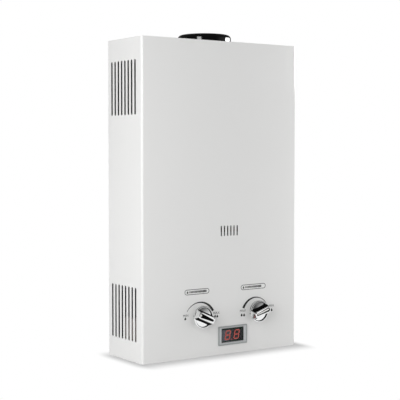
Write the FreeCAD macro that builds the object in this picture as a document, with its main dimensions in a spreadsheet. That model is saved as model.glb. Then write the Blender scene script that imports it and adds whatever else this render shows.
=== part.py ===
import FreeCAD, Part
import math
import operator
import os
import types
import Sketcher
from FreeCAD import Placement, Rotation, Vector

# Wall-hung gas water heater, in millimetres.
# Frame: X across the front, Y = 0 at the wall with the front towards -Y, Z = 0 at the bottom edge.

SIZES = {
    # casing
    "case_width": 330,
    "case_depth": 112,
    "case_height": 550,
    "sheet_wall": 0.8,
    "bend_radius": 4,
    "lip_depth": 12,
    "lip_rise": 6,
    "panel_gap": 0.2,
    "flange_depth": 8,
    "plate_level": 30,
    "top_skirt": 12,
    "rail_inset": 8,
    "rail_width": 16,
    "rail_foot": 11,
    "rail_wall": 1,
    # louvre slots in the front and in the sides
    "front_slot_count": 6,
    "front_slot_pitch": 6.9,
    "front_slot_width": 2.8,
    "front_slot_length": 18.3,
    "front_slot_centre": 15.1,
    "front_slot_level": 218.2,
    "side_slot_count": 8,
    "side_slot_pitch": 11.1,
    "side_slot_width": 5.2,
    "side_slot_length": 93,
    "side_slot_start": 21.5,
    "side_slot_low": 81,
    "side_slot_drop": 84,
    # fasteners
    "screw_radius": 1.9,
    "screw_hole_radius": 2.2,
    "screw_head_radius": 3.6,
    "screw_head_height": 2.2,
    "screw_crown": 0.9,
    "screw_length": 8,
    "cover_screw_span": 280,
    "small_screw_radius": 1.4,
    "small_screw_head": 2.7,
    # holes for hanging on a wall
    "wall_hole_radius": 3.25,
    "wall_hole_span": 260,
    "wall_hole_low": 140,
    "wall_hole_drop": 25,
    # flue
    "flue_radius": 47.5,
    "flue_rise": 14.2,
    "flue_wall": 1.2,
    "flue_rim_radius": 6.5,
    "spigot_radius": 40,
    "spigot_drop": 7,
    "flue_flange_width": 124,
    "flue_flange_depth": 100,
    "flue_screw_span": 108,
    "flue_screw_depth": 80,
    "gasket_wall": 1,
    # heat exchanger and hood
    "core_width": 200,
    "core_wall": 0.8,
    "core_air": 3.2,
    "exchanger_height": 210,
    "hood_overlap": 8,
    "hood_skirt": 60,
    "hood_neck": 12,
    "hood_top_width": 96,
    "draught_width": 130,
    "draught_height": 24,
    "draught_lift": 4,
    "fin_count": 33,
    "fin_pitch": 5.7,
    "fin_clear": 2,
    "fin_wall": 0.5,
    "fin_height": 38,
    "tube_wall": 0.7,
    "tube_pitch": 17,
    "tube_count": 5,
    "coil_diameter": 10,
    "coil_bore": 4.2,
    "coil_pitch": 34,
    "coil_turns": 3,
    "coil_lift": 20,
    "coil_bend": 12,
    "coil_reach": 19,
    "joint_overlap": 6,
    "joint_clear": 3,
    "tube_stub": 3,
    # burner
    "burner_base": 160,
    "burner_height": 62,
    "burner_overlap": 7,
    "burner_bar_count": 11,
    "burner_bar_pitch": 17,
    "burner_bar_width": 9,
    "burner_bar_height": 40,
    "burner_bar_lift": 8,
    "port_count": 9,
    "port_width": 1.2,
    "port_depth": 3,
    "port_margin": 1,
    "mixer_radius": 6.5,
    "mixer_bore": 5.5,
    "mixer_lift": 16,
    "mixer_end": 4,
    "manifold_radius": 5.5,
    "manifold_bore": 4.3,
    "manifold_gap": 1.2,
    "manifold_inset": 5,
    "injector_radius": 2.5,
    "injector_bore": 0.8,
    "injector_reach": 4,
    "injector_gap": 2,
    "sight_width": 60,
    "sight_height": 9,
    # gas and water controls
    "knob_level": 71.3,
    "gas_axis": -48.3,
    "water_axis": 73.4,
    "valve_width": 44,
    "valve_depth": 40,
    "valve_height": 46,
    "valve_neck_radius": 14,
    "boss_radius": 11,
    "boss_length": 8,
    "spindle_radius": 4,
    "spindle_flat": 2.9,
    "spindle_depth": 20,
    "spindle_end_gap": 1,
    "running_gap": 0.05,
    "disc_radius": 30,
    "disc_wall": 11,
    "cover_wall": 14,
    "cover_cavity_radius": 20,
    "cover_cavity_depth": 11,
    "diaphragm_wall": 2,
    "disc_screw_circle": 25.5,
    "disc_screw_count": 6,
    "disc_screw_grip": 8,
    "push_rod_radius": 2.5,
    "push_rod_depth": 18,
    "push_rod_travel": 4,
    "push_end_gap": 1,
    "push_plate_radius": 14,
    "push_plate_wall": 2,
    "collar_radius": 5,
    "collar_wall": 3,
    "switch_width": 20,
    "switch_depth": 10,
    "switch_height": 14,
    "switch_lift": 12,
    "switch_ear_wall": 1.6,
    "switch_ear_reach": 3.7,
    "switch_ear_height": 4,
    "lever_wall": 1,
    "lever_width": 6,
    "lever_offset": 1.7,
    "lever_rise": 1.5,
    "lever_tip_gap": 0.6,
    "lever_pivot_radius": 0.9,
    "solenoid_radius": 13,
    "solenoid_length": 26,
    "solenoid_cap_radius": 8,
    "solenoid_cap_length": 2,
    "riser_radius": 5,
    "riser_bore": 4,
    "riser_level": 136,
    "riser_bend": 11,
    # pipe connections, G 1/2 thread
    "thread_radius": 10.48,
    "thread_length": 16,
    "thread_start": 4,
    "port_bore_radius": 7,
    "hex_radius": 14.4,
    "union_neck_radius": 9,
    "union_neck_length": 10,
    "union_hole_gap": 0.3,
    "washer_wall": 2,
    "washer_brim": 3,
    "strainer_lift": 3,
    "strainer_length": 12,
    "strainer_wall": 0.6,
    "hot_port": 5,
    "hot_port_depth": 24,
    "hot_block_radius": 12,
    "hot_block_height": 14,
    "hot_pipe_side": 128,
    "hot_pipe_level": 148,
    "drain_depth": 30,
    "cold_rise": 20,
    "drain_radius": 5,
    "drain_wall": 4,
    "drain_boss_rise": 10,
    "drain_head_radius": 8.5,
    "drain_head_height": 14,
    # knobs
    "knob_radius": 19.7,
    "knob_stand": 8,
    "knob_rim": 5.5,
    "knob_edge": 2.4,
    "knob_hub_radius": 11,
    "knob_hub_gap": 1.2,
    "grip_width": 9,
    "grip_rise": 9.8,
    "grip_top": 33,
    "grip_foot": 38,
    "knob_bore_depth": 12,
    "temperature_pointer": 156,
    "flow_pointer": 18,
    "bush_radius": 10.5,
    "bush_face": 0.9,
    "bush_neck_radius": 7.5,
    "bush_neck_length": 4,
    "bush_bore_gap": 0.3,
    # display
    "display_centre": 22.4,
    "display_level": 32.3,
    "bezel_width": 62.6,
    "bezel_height": 33.8,
    "bezel_face": 2.2,
    "bezel_corner": 1.2,
    "window_shift": -0.8,
    "window_lift": 0.8,
    "window_width": 48.1,
    "window_height": 24.7,
    "window_wall": 1.4,
    "window_gap": 0.3,
    "display_body_width": 56,
    "display_body_height": 28,
    "display_body_depth": 13,
    "display_body_wall": 1.5,
    "digit_width": 44,
    "digit_height": 20,
    "digit_depth": 6,
    "board_wall": 1.6,
    # ignition
    "controller_width": 46,
    "controller_depth": 52,
    "controller_height": 74,
    "controller_side_gap": 8,
    "controller_corner": 3,
    "controller_shift": 10,
    "electrode_drop": 22,
    "electrode_radius": 2.5,
    "electrode_depth": 6,
    "electrode_tip_radius": 0.8,
    "electrode_tip_reach": 20,
    "electrode_tip_rise": 12,
    "boot_width": 7,
    "boot_depth": 6,
    "cutout_radius": 8,
    "cutout_depth": 5,
    "cutout_place": 60,
    "cutout_ear_reach": 13,
    "cutout_ear_wall": 1,
    "lead_radius": 1.4,
    "lead_bend": 4.5,
    "lead_drop": 6,
    "lead_side": 12,
    "lead_spread": 5,
    "lead_landing": 12,
    "lead_landing_pitch": 18,
    "lead_arch": 14,
    "lead_clear": 8,
    # battery box
    "cell_radius": 16.6,
    "cell_length": 61,
    "cell_gap": 0.6,
    "nub_radius": 4.8,
    "nub_height": 1.5,
    "battery_wall": 1.6,
    "battery_side_gap": 11,
    "battery_front": 99,
    "battery_rim": 3,
    "lid_wall": 1.8,
    "lid_gap": 0.5,
    "hinge_radius": 2.6,
    "hinge_pin_radius": 1.2,
    "hinge_length": 10,
    "hinge_start": 20,
    "ear_width": 6,
    "ear_radius": 2,
    "ear_gap": 0.3,
    # brackets
    "bracket_wall": 1.2,
    "bracket_foot": 16,
    "bracket_height": 30,
    "bracket_lift": 10,
    # clearances
    "notch_gap": 1,
}

document = FreeCAD.newDocument("water_heater")
sheet = document.addObject("Spreadsheet::Sheet", "Sizes")
for row, (alias, number) in enumerate(SIZES.items(), start=1):
    sheet.set(f"A{row}", alias)
    sheet.set(f"B{row}", str(number))
    sheet.setAlias(f"B{row}", alias)
document.recompute()


# ---------------------------------------------------------------- sizes that carry their formula

class Size:
    """A number together with the sheet formula that gives it."""

    def __init__(self, number, text):
        self.number = number
        self.text = text

    def __add__(self, other):
        return joined(self, "+", other)

    def __radd__(self, other):
        return joined(other, "+", self)

    def __sub__(self, other):
        return joined(self, "-", other)

    def __rsub__(self, other):
        return joined(other, "-", self)

    def __mul__(self, other):
        return joined(self, "*", other)

    def __rmul__(self, other):
        return joined(other, "*", self)

    def __truediv__(self, other):
        return joined(self, "/", other)

    def __neg__(self):
        return joined(0, "-", self)

    def __float__(self):
        return float(self.number)


OPERATIONS = {"+": operator.add, "-": operator.sub, "*": operator.mul, "/": operator.truediv}


def as_size(value):
    if isinstance(value, Size):
        return value
    return Size(float(value), f"({value})")


def joined(left, sign, right):
    left = as_size(left)
    right = as_size(right)
    return Size(OPERATIONS[sign](left.number, right.number), f"({left.text} {sign} {right.text})")


mm = types.SimpleNamespace(**{alias: Size(float(sheet.get(alias)), f"Sizes.{alias}") for alias in SIZES})

# ---------------------------------------------------------------- places shared by several pieces

PAST = 1  # how far a cutting shape runs past a face
SINK = 1  # how far a fused shape is sunk into its neighbour
FRONT = -mm.case_depth
FRONT_INSIDE = FRONT + mm.sheet_wall
HALF = mm.case_width / 2
HALF_INSIDE = HALF - mm.sheet_wall
PLATE_HALF = HALF_INSIDE - mm.panel_gap
PLATE_FRONT = FRONT_INSIDE + mm.panel_gap
BACK_INSIDE = -mm.sheet_wall
TOP_PLATE = mm.case_height - mm.lip_rise - mm.sheet_wall
TOP_INSIDE = TOP_PLATE - mm.sheet_wall
BOTTOM_INSIDE = mm.plate_level + mm.sheet_wall
COVER_SCREW_Y = FRONT + mm.lip_depth / 2
HIGH_SLOT_LEVEL = mm.case_height - mm.side_slot_drop
CORE_Y = FRONT / 2
CORE_HALF = mm.core_width / 2
CORE_FRONT = FRONT_INSIDE + mm.coil_diameter + mm.core_air
CORE_BACK = -mm.sheet_wall - mm.coil_diameter - mm.core_air
EXCHANGER_LOW = mm.burner_base + mm.burner_height - mm.burner_overlap
EXCHANGER_TOP = EXCHANGER_LOW + mm.exchanger_height
HOOD_LOW = EXCHANGER_TOP - mm.hood_overlap
TUBE_LEVEL = HOOD_LOW - mm.fin_clear - mm.fin_height / 2
VALVE_TOP = mm.knob_level + mm.valve_height / 2
VALVE_LOW = mm.knob_level - mm.valve_height / 2
VALVE_FRONT = CORE_Y - mm.valve_depth / 2
VALVE_BACK = CORE_Y + mm.valve_depth / 2
BOSS_FRONT = VALVE_FRONT - mm.boss_length
DISC_FACE = mm.water_axis - mm.valve_width / 2 - mm.disc_wall
COVER_FACE = DISC_FACE - mm.diaphragm_wall
COVER_END = COVER_FACE - mm.cover_wall
GAS_FACE = mm.gas_axis + mm.valve_width / 2
MANIFOLD_LEVEL = mm.burner_base + mm.mixer_lift
MANIFOLD_Y = FRONT_INSIDE + mm.manifold_radius + mm.manifold_gap
UNION_HEX_LOW = mm.thread_start + mm.thread_length
HOT_Y = -mm.hot_port_depth
KNOB_FACE = mm.knob_stand + mm.knob_rim
COIL_RADIUS = mm.coil_diameter / 2
TUBE_RADIUS = COIL_RADIUS + mm.tube_wall
CORE_CORNER = mm.coil_bend - COIL_RADIUS
COIL_SIDE = CORE_HALF + COIL_RADIUS
COIL_FRONT = CORE_FRONT - COIL_RADIUS
COIL_BACK = CORE_BACK + COIL_RADIUS
COIL_LOW = EXCHANGER_LOW + mm.coil_lift + COIL_RADIUS
COIL_TAIL_Y = CORE_BACK - mm.coil_bend - mm.joint_overlap
COLD_END = EXCHANGER_LOW - mm.joint_clear
TUBE_END = CORE_HALF + mm.tube_stub
TUBE_TURN = TUBE_END + mm.tube_pitch / 2
FRAME_HALF = CORE_HALF - mm.core_wall
FRAME_FRONT = CORE_FRONT + mm.core_wall
FRAME_BACK = CORE_BACK - mm.core_wall
FRAME_TOP = mm.burner_base + mm.burner_height
ELECTRODE_LEVEL = FRAME_TOP - mm.electrode_drop
BATTERY_INSIDE = 4 * mm.cell_radius + 3 * mm.cell_gap
BATTERY_LEFT = -HALF_INSIDE + mm.battery_side_gap
BATTERY_RIGHT = BATTERY_LEFT + BATTERY_INSIDE + 2 * mm.battery_wall
BATTERY_MIDDLE = (BATTERY_LEFT + BATTERY_RIGHT) / 2
BATTERY_FRONT = -mm.battery_front
BATTERY_BACK = BATTERY_FRONT + mm.cell_length + 2 * mm.battery_wall
LID_TOP = mm.plate_level + mm.lid_wall
HINGE_Z = mm.plate_level + mm.lid_wall / 2
CELL_LEVEL = HINGE_Z + mm.hinge_radius + mm.cell_gap + mm.cell_radius
BATTERY_TOP = CELL_LEVEL + mm.cell_radius + mm.cell_gap + mm.battery_wall
HINGE_Y = BATTERY_FRONT + mm.battery_wall + mm.hinge_radius + mm.lid_gap
PUSH_END = GAS_FACE - mm.push_rod_depth
SWITCH_END = GAS_FACE + mm.switch_width
SWITCH_LOW = mm.knob_level + mm.switch_lift
CONTROLLER_RIGHT = HALF_INSIDE - mm.controller_side_gap
CONTROLLER_LEFT = CONTROLLER_RIGHT - mm.controller_width
CONTROLLER_BACK = CORE_Y + mm.controller_shift
CONTROLLER_TOP = BOTTOM_INSIDE + mm.controller_height


# ---------------------------------------------------------------- small modelling functions

def bind(item, **sizes):
    """Drive properties from the sheet; an underscore in a name stands for a dot."""
    for name, value in sizes.items():
        item.setExpression(name.replace("_", "."), as_size(value).text)


def place(item, x, y, z):
    bind(item, Placement_Base_x=x, Placement_Base_y=y, Placement_Base_z=z)


def box(label, low, high):
    item = document.addObject("Part::Box", label)
    bind(item, Length=high[0] - low[0], Width=high[1] - low[1], Height=high[2] - low[2])
    place(item, *low)
    return item


TURNS = {
    "X": Rotation(Vector(0, 0, 1), Vector(1, 0, 0)),
    "Y": Rotation(Vector(0, 0, 1), Vector(0, 1, 0)),
    "Z": Rotation(),
}


def rod(label, start, axis, radius, length):
    item = document.addObject("Part::Cylinder", label)
    item.Placement = Placement(Vector(), TURNS[axis])
    bind(item, Radius=radius, Height=length)
    place(item, *start)
    return item


def hexagon(label, start, radius, height):
    item = document.addObject("Part::Prism", label)
    item.Polygon = 6
    bind(item, Circumradius=radius, Height=height)
    place(item, *start)
    return item


def fuse(label, *parts):
    item = document.addObject("Part::MultiFuse", label)
    item.Shapes = list(parts)
    return item


def cut(label, base, *tools):
    item = document.addObject("Part::Cut", label)
    item.Base = base
    item.Tool = tools[0] if len(tools) == 1 else fuse(label + "_tools", *tools)
    return item


def group(label, *parts):
    """Several separate solids that share one node."""
    item = document.addObject("Part::Compound", label)
    item.Links = list(parts)
    return item


def solid(label, shape):
    item = document.addObject("Part::Feature", label)
    item.Shape = shape
    item.Placement = Placement()
    return item


def body(label):
    return document.addObject("PartDesign::Body", label)


PLANES = {"top": "XY_Plane", "front": "XZ_Plane", "side": "YZ_Plane"}


def sketch(owner, label, plane, offset):
    """A sketch on a body's own plane. The front plane's offset runs towards -Y."""
    item = owner.newObject("Sketcher::SketchObject", label)
    support = next(plane_item for plane_item in owner.Origin.OriginFeatures
                   if plane_item.Role == PLANES[plane])
    item.AttachmentSupport = [(support, "")]
    item.MapMode = "FlatFace"
    bind(item, AttachmentOffset_Base_z=offset)
    return item


def fix(item, kind, geometry, point, value):
    """Tie a point's distance from the sketch origin to the sheet."""
    value = as_size(value)
    index = item.addConstraint(Sketcher.Constraint(kind, -1, 1, geometry, point, value.number))
    item.setExpression(f"Constraints[{index}]", value.text)


def fix_radius(item, geometry, value):
    value = as_size(value)
    index = item.addConstraint(Sketcher.Constraint("Radius", geometry, value.number))
    item.setExpression(f"Constraints[{index}]", value.text)


def polygon(item, points):
    """A closed outline whose corners are all tied to the sheet."""
    first = item.GeometryCount
    corners = [Vector(float(u), float(v), 0) for u, v in points]
    for index, corner in enumerate(corners):
        item.addGeometry(Part.LineSegment(corner, corners[(index + 1) % len(corners)]), False)
    for index, (u, v) in enumerate(points):
        following = first + (index + 1) % len(points)
        item.addConstraint(Sketcher.Constraint("Coincident", first + index, 2, following, 1))
        fix(item, "DistanceX", first + index, 1, u)
        fix(item, "DistanceY", first + index, 1, v)
    return item


def rectangle(item, low, high):
    return polygon(item, [(low[0], low[1]), (high[0], low[1]), (high[0], high[1]), (low[0], high[1])])


def circle(item, u, v, radius):
    centre = Vector(float(u), float(v), 0)
    index = item.addGeometry(Part.Circle(centre, Vector(0, 0, 1), float(radius)), False)
    fix(item, "DistanceX", index, 3, u)
    fix(item, "DistanceY", index, 3, v)
    fix_radius(item, index, radius)
    return item


def arc(item, centre, radius, start, end):
    round_edge = Part.Circle(centre, Vector(0, 0, 1), radius)
    return item.addGeometry(Part.ArcOfCircle(round_edge, math.radians(start), math.radians(end)), False)


def slot(item, u, v, width, length):
    """An upright slot with round ends."""
    radius = width / 2
    reach = (length - width) / 2
    high = Vector(float(u), float(v + reach), 0)
    low = Vector(float(u), float(v - reach), 0)
    side = Vector(float(radius), 0, 0)
    top = arc(item, high, float(radius), 0, 180)
    left = item.addGeometry(Part.LineSegment(high - side, low - side), False)
    bottom = arc(item, low, float(radius), 180, 360)
    right = item.addGeometry(Part.LineSegment(low + side, high + side), False)
    for one, one_end, two, two_end in ((top, 2, left, 1), (left, 2, bottom, 1),
                                       (bottom, 2, right, 1), (right, 2, top, 1)):
        item.addConstraint(Sketcher.Constraint("Tangent", one, one_end, two, two_end))
    item.addConstraint(Sketcher.Constraint("Equal", top, bottom))
    for end, height in ((top, v + reach), (bottom, v - reach)):
        fix(item, "DistanceX", end, 3, u)
        fix(item, "DistanceY", end, 3, height)
    fix_radius(item, top, radius)
    return item


def rounded_rectangle(item, low, high, radius):
    left, bottom = float(low[0]), float(low[1])
    right, top = float(high[0]), float(high[1])
    bend = float(radius)
    lines = []
    arcs = []
    for start, end in (((left + bend, bottom), (right - bend, bottom)),
                       ((right, bottom + bend), (right, top - bend)),
                       ((right - bend, top), (left + bend, top)),
                       ((left, top - bend), (left, bottom + bend))):
        lines.append(item.addGeometry(Part.LineSegment(Vector(*start, 0), Vector(*end, 0)), False))
    for centre, angle in (((right - bend, bottom + bend), 270), ((right - bend, top - bend), 0),
                          ((left + bend, top - bend), 90), ((left + bend, bottom + bend), 180)):
        arcs.append(arc(item, Vector(*centre, 0), bend, angle, angle + 90))
    for index in range(4):
        item.addConstraint(Sketcher.Constraint("Tangent", lines[index], 2, arcs[index], 1))
        item.addConstraint(Sketcher.Constraint("Tangent", arcs[index], 2, lines[(index + 1) % 4], 1))
    for index in range(1, 4):
        item.addConstraint(Sketcher.Constraint("Equal", arcs[0], arcs[index]))
    for index, kind in enumerate(("Horizontal", "Vertical", "Horizontal", "Vertical")):
        item.addConstraint(Sketcher.Constraint(kind, lines[index]))
    fix(item, "DistanceY", lines[0], 1, low[1])
    fix(item, "DistanceX", lines[1], 1, high[0])
    fix(item, "DistanceY", lines[2], 1, high[1])
    fix(item, "DistanceX", lines[3], 1, low[0])
    fix_radius(item, arcs[0], radius)
    return item


def pad(owner, profile, length, symmetric=False):
    item = owner.newObject("PartDesign::Pad", profile.Label + "_pad")
    item.Profile = profile
    if symmetric:
        item.SideType = "Symmetric"
    bind(item, Length=length)
    document.recompute()
    return item


def pocket(owner, profile, length, reverse=False, symmetric=False):
    """Cuts against the sketch's normal: down from a top sketch, towards +Y from a front one."""
    item = owner.newObject("PartDesign::Pocket", profile.Label + "_pocket")
    item.Profile = profile
    item.Reversed = reverse
    if symmetric:
        item.SideType = "Symmetric"
    bind(item, Length=length)
    document.recompute()
    return item


def repeat(owner, feature, profile, pitch, count):
    """Repeats a feature along the sketch's horizontal axis."""
    item = owner.newObject("PartDesign::LinearPattern", feature.Label + "_row")
    item.Originals = [feature]
    item.Direction = (profile, ["H_Axis"])
    bind(item, Length=pitch * (count - 1), Occurrences=count)
    owner.Tip = item
    document.recompute()
    return item


def revolve(owner, profile, axis):
    item = owner.newObject("PartDesign::Revolution", profile.Label + "_turned")
    item.Profile = profile
    item.ReferenceAxis = (profile, [axis])
    item.Angle = 360
    document.recompute()
    return item


def round_edges(owner, label, radius, chosen, kind="PartDesign::Fillet"):
    """Rounds the edges of the body so far that the function chosen picks."""
    base = owner.Tip
    names = [f"Edge{index}" for index, edge in enumerate(base.Shape.Edges, start=1) if chosen(edge)]
    item = owner.newObject(kind, label)
    item.Base = (base, names)
    if kind == "PartDesign::Fillet":
        bind(item, Radius=radius)
    else:
        bind(item, Size=radius)
    document.recompute()
    return item


def near(value, target):
    return abs(value - float(target)) < 1e-4


def upright(edge, x, y):
    """Whether an edge is vertical and stands at the given place."""
    box_of = edge.BoundBox
    return box_of.ZLength > 1 and near(box_of.XMin, x) and near(box_of.XMax, x) \
        and near(box_of.YMin, y) and near(box_of.YMax, y)


def route(corners, bend):
    """A path of straight runs joined by tangent arcs of one radius."""
    points = [Vector(float(x), float(y), float(z)) for x, y, z in corners]
    edges = []
    start = points[0]
    for before, corner, after in zip(points, points[1:], points[2:]):
        incoming = (corner - before).normalize()
        outgoing = (after - corner).normalize()
        turn = incoming.getAngle(outgoing)
        reach = bend * math.tan(turn / 2)
        arc_start = corner - incoming * reach
        arc_end = corner + outgoing * reach
        inward = (outgoing - incoming).normalize()
        middle = corner + inward * (bend / math.cos(turn / 2) - bend)
        if (arc_start - start).Length > 1e-6:
            edges.append(Part.LineSegment(start, arc_start).toShape())
        edges.append(Part.Arc(arc_start, middle, arc_end).toShape())
        start = arc_end
    edges.append(Part.LineSegment(start, points[-1]).toShape())
    return Part.Wire(edges)


def swept(path, radius):
    start = path.Edges[0].Vertexes[0].Point
    heading = path.Edges[0].tangentAt(path.Edges[0].FirstParameter)
    profile = Part.Wire(Part.makeCircle(radius, start, heading))
    pipe = path.makePipeShell([profile], True, False)
    error = pipe.Volume / (math.pi * radius ** 2 * path.Length) - 1
    if abs(error) > 0.01:
        raise ValueError(f"a pipe's volume is off by {error:.3%}")
    return pipe


def tube_shape(corners, radius, bore, bend):
    """A pipe along a route; a bore of None makes it solid."""
    path = route(corners, float(bend))
    pipe = swept(path, float(radius))
    if bore is None:
        return pipe
    return pipe.cut(swept(path, float(bore)))


def screw(start, direction, length, radius=mm.screw_radius, head=mm.screw_head_radius):
    """A pan-head screw: start is under the head, and the shank runs along direction."""
    origin = Vector(*(float(value) for value in start))
    along = Vector(*direction)
    shank = Part.makeCylinder(float(radius), float(length), origin, along)
    cap_height = float(mm.screw_head_height)
    cap = Part.makeCylinder(float(head), cap_height, origin, -along)
    crown = max(cap.Edges, key=lambda edge: (edge.CenterOfMass - origin).dot(-along))
    cap = cap.makeFillet(float(mm.screw_crown), [crown])
    return shank.fuse(cap).removeSplitter()


# ---------------------------------------------------------------- casing

def build_front_cover():
    """One folded sheet: front, both sides, and a hemmed lip along the top and bottom edges."""
    cover = body("front_cover")
    outline = sketch(cover, "cover_outline", "top", 0)
    rectangle(outline, (-HALF, FRONT), (HALF, 0))
    pad(cover, outline, mm.case_height)
    round_edges(cover, "cover_bends", mm.bend_radius,
                lambda edge: upright(edge, HALF, FRONT) or upright(edge, -HALF, FRONT))

    def hollow(label, inset, radius, low, height):
        profile = sketch(cover, label, "top", low)
        rounded_rectangle(profile, (-HALF + inset, FRONT + inset), (HALF - inset, radius + PAST), radius)
        pocket(cover, profile, height, reverse=True)

    inner_bend = mm.bend_radius - mm.sheet_wall
    hem_bend = inner_bend - mm.sheet_wall
    lip_top = mm.lip_rise + mm.sheet_wall
    hollow("cover_cavity", mm.sheet_wall, inner_bend, lip_top, mm.case_height - 2 * lip_top)
    hollow("cover_bottom_recess", 2 * mm.sheet_wall, hem_bend, 0, mm.lip_rise)
    hollow("cover_top_recess", 2 * mm.sheet_wall, hem_bend, mm.case_height - mm.lip_rise, mm.lip_rise)
    hollow("cover_lip_opening", mm.lip_depth, mm.bend_radius, 0, mm.case_height)

    flue_notch = sketch(cover, "cover_flue_notch", "top", mm.case_height)
    notch_half = mm.flue_flange_width / 2 + mm.notch_gap
    rectangle(flue_notch, (-notch_half, FRONT + 2 * mm.sheet_wall), (notch_half, FRONT + mm.lip_depth + PAST))
    pocket(cover, flue_notch, mm.lip_rise + 2 * mm.sheet_wall)

    front_slots = sketch(cover, "front_slot", "front", mm.case_depth)
    first = mm.front_slot_centre - mm.front_slot_pitch * (mm.front_slot_count - 1) / 2
    slot(front_slots, first, mm.front_slot_level, mm.front_slot_width, mm.front_slot_length)
    first_slot = pocket(cover, front_slots, 2 * mm.sheet_wall)
    repeat(cover, first_slot, front_slots, mm.front_slot_pitch, mm.front_slot_count)

    for label, level in (("low_side_slot", mm.side_slot_low), ("high_side_slot", HIGH_SLOT_LEVEL)):
        side_slots = sketch(cover, label, "side", 0)
        slot(side_slots, FRONT + mm.side_slot_start, level, mm.side_slot_width, mm.side_slot_length)
        first_slot = pocket(cover, side_slots, mm.case_width + 2 * PAST, symmetric=True)
        repeat(cover, first_slot, side_slots, mm.side_slot_pitch, mm.side_slot_count)

    openings = sketch(cover, "control_openings", "front", mm.case_depth)
    for axis in (mm.gas_axis, mm.water_axis):
        circle(openings, axis, mm.knob_level, mm.bush_neck_radius)
    body_half = mm.display_body_width / 2
    body_rise = mm.display_body_height / 2
    rectangle(openings, (mm.display_centre - body_half, mm.display_level - body_rise),
              (mm.display_centre + body_half, mm.display_level + body_rise))
    pocket(cover, openings, 2 * mm.sheet_wall)

    for label, level in (("bottom_lip_holes", mm.lip_rise + 2 * mm.sheet_wall), ("top_lip_holes", mm.case_height)):
        holes = sketch(cover, label, "top", level)
        for side in (-1, 1):
            circle(holes, side * mm.cover_screw_span / 2, COVER_SCREW_Y, mm.screw_hole_radius)
        pocket(cover, holes, mm.lip_rise + 2 * mm.sheet_wall)
    return cover


def build_back_plate():
    """Flat plate against the wall, notched at its corners, with a flange folded forward along each side."""
    plate = body("back_plate")
    outline = sketch(plate, "back_outline", "front", 0)
    tongue = HALF - mm.lip_depth - mm.panel_gap
    low = mm.lip_rise + mm.sheet_wall
    high = mm.case_height - low
    polygon(outline, [(-tongue, 0), (tongue, 0), (tongue, low), (PLATE_HALF, low), (PLATE_HALF, high),
                      (tongue, high), (tongue, mm.case_height), (-tongue, mm.case_height), (-tongue, high),
                      (-PLATE_HALF, high), (-PLATE_HALF, low), (-tongue, low)])
    pad(plate, outline, mm.sheet_wall)
    flange_low = BOTTOM_INSIDE + mm.panel_gap
    flange_top = TOP_PLATE - mm.top_skirt - mm.panel_gap
    for side, label in ((-1, "left_flange"), (1, "right_flange")):
        flange = sketch(plate, label, "front", 0)
        outer = side * PLATE_HALF
        inner = side * (PLATE_HALF - mm.sheet_wall)
        low, high = (outer, inner) if side < 0 else (inner, outer)
        rectangle(flange, (low, flange_low), (high, flange_top))
        pad(plate, flange, mm.flange_depth)
    holes = sketch(plate, "wall_holes", "front", mm.sheet_wall)
    for side in (-1, 1):
        for level in (mm.wall_hole_low, mm.case_height - mm.wall_hole_drop):
            circle(holes, side * mm.wall_hole_span / 2, level, mm.wall_hole_radius)
    pocket(plate, holes, 2 * mm.sheet_wall)
    return plate


def tray(label, low, high, open_low):
    """A folded tray between the cover's sides; its open side faces down."""
    plate = body(label)
    outline = sketch(plate, label + "_outline", "top", low)
    rounded_rectangle(outline, (-PLATE_HALF, PLATE_FRONT), (PLATE_HALF, BACK_INSIDE),
                      mm.bend_radius - mm.sheet_wall)
    pad(plate, outline, high - low)
    cavity = sketch(plate, label + "_cavity", "top", open_low)
    wall = mm.sheet_wall
    rounded_rectangle(cavity, (-PLATE_HALF + wall, PLATE_FRONT + wall), (PLATE_HALF - wall, BACK_INSIDE - wall),
                      mm.bend_radius - 2 * wall)
    pocket(plate, cavity, high - wall - open_low, reverse=True)
    return plate


def build_top_plate():
    plate = tray("top_plate", TOP_PLATE - mm.top_skirt, TOP_PLATE, TOP_PLATE - mm.top_skirt)
    holes = sketch(plate, "top_plate_holes", "top", TOP_PLATE)
    circle(holes, 0, CORE_Y, mm.spigot_radius + mm.panel_gap)
    for side in (-1, 1):
        circle(holes, side * mm.cover_screw_span / 2, COVER_SCREW_Y, mm.screw_radius)
        for depth in (-1, 1):
            circle(holes, side * mm.flue_screw_span / 2, CORE_Y + depth * mm.flue_screw_depth / 2,
                   mm.screw_radius)
    pocket(plate, holes, 2 * mm.sheet_wall)
    return plate


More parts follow.
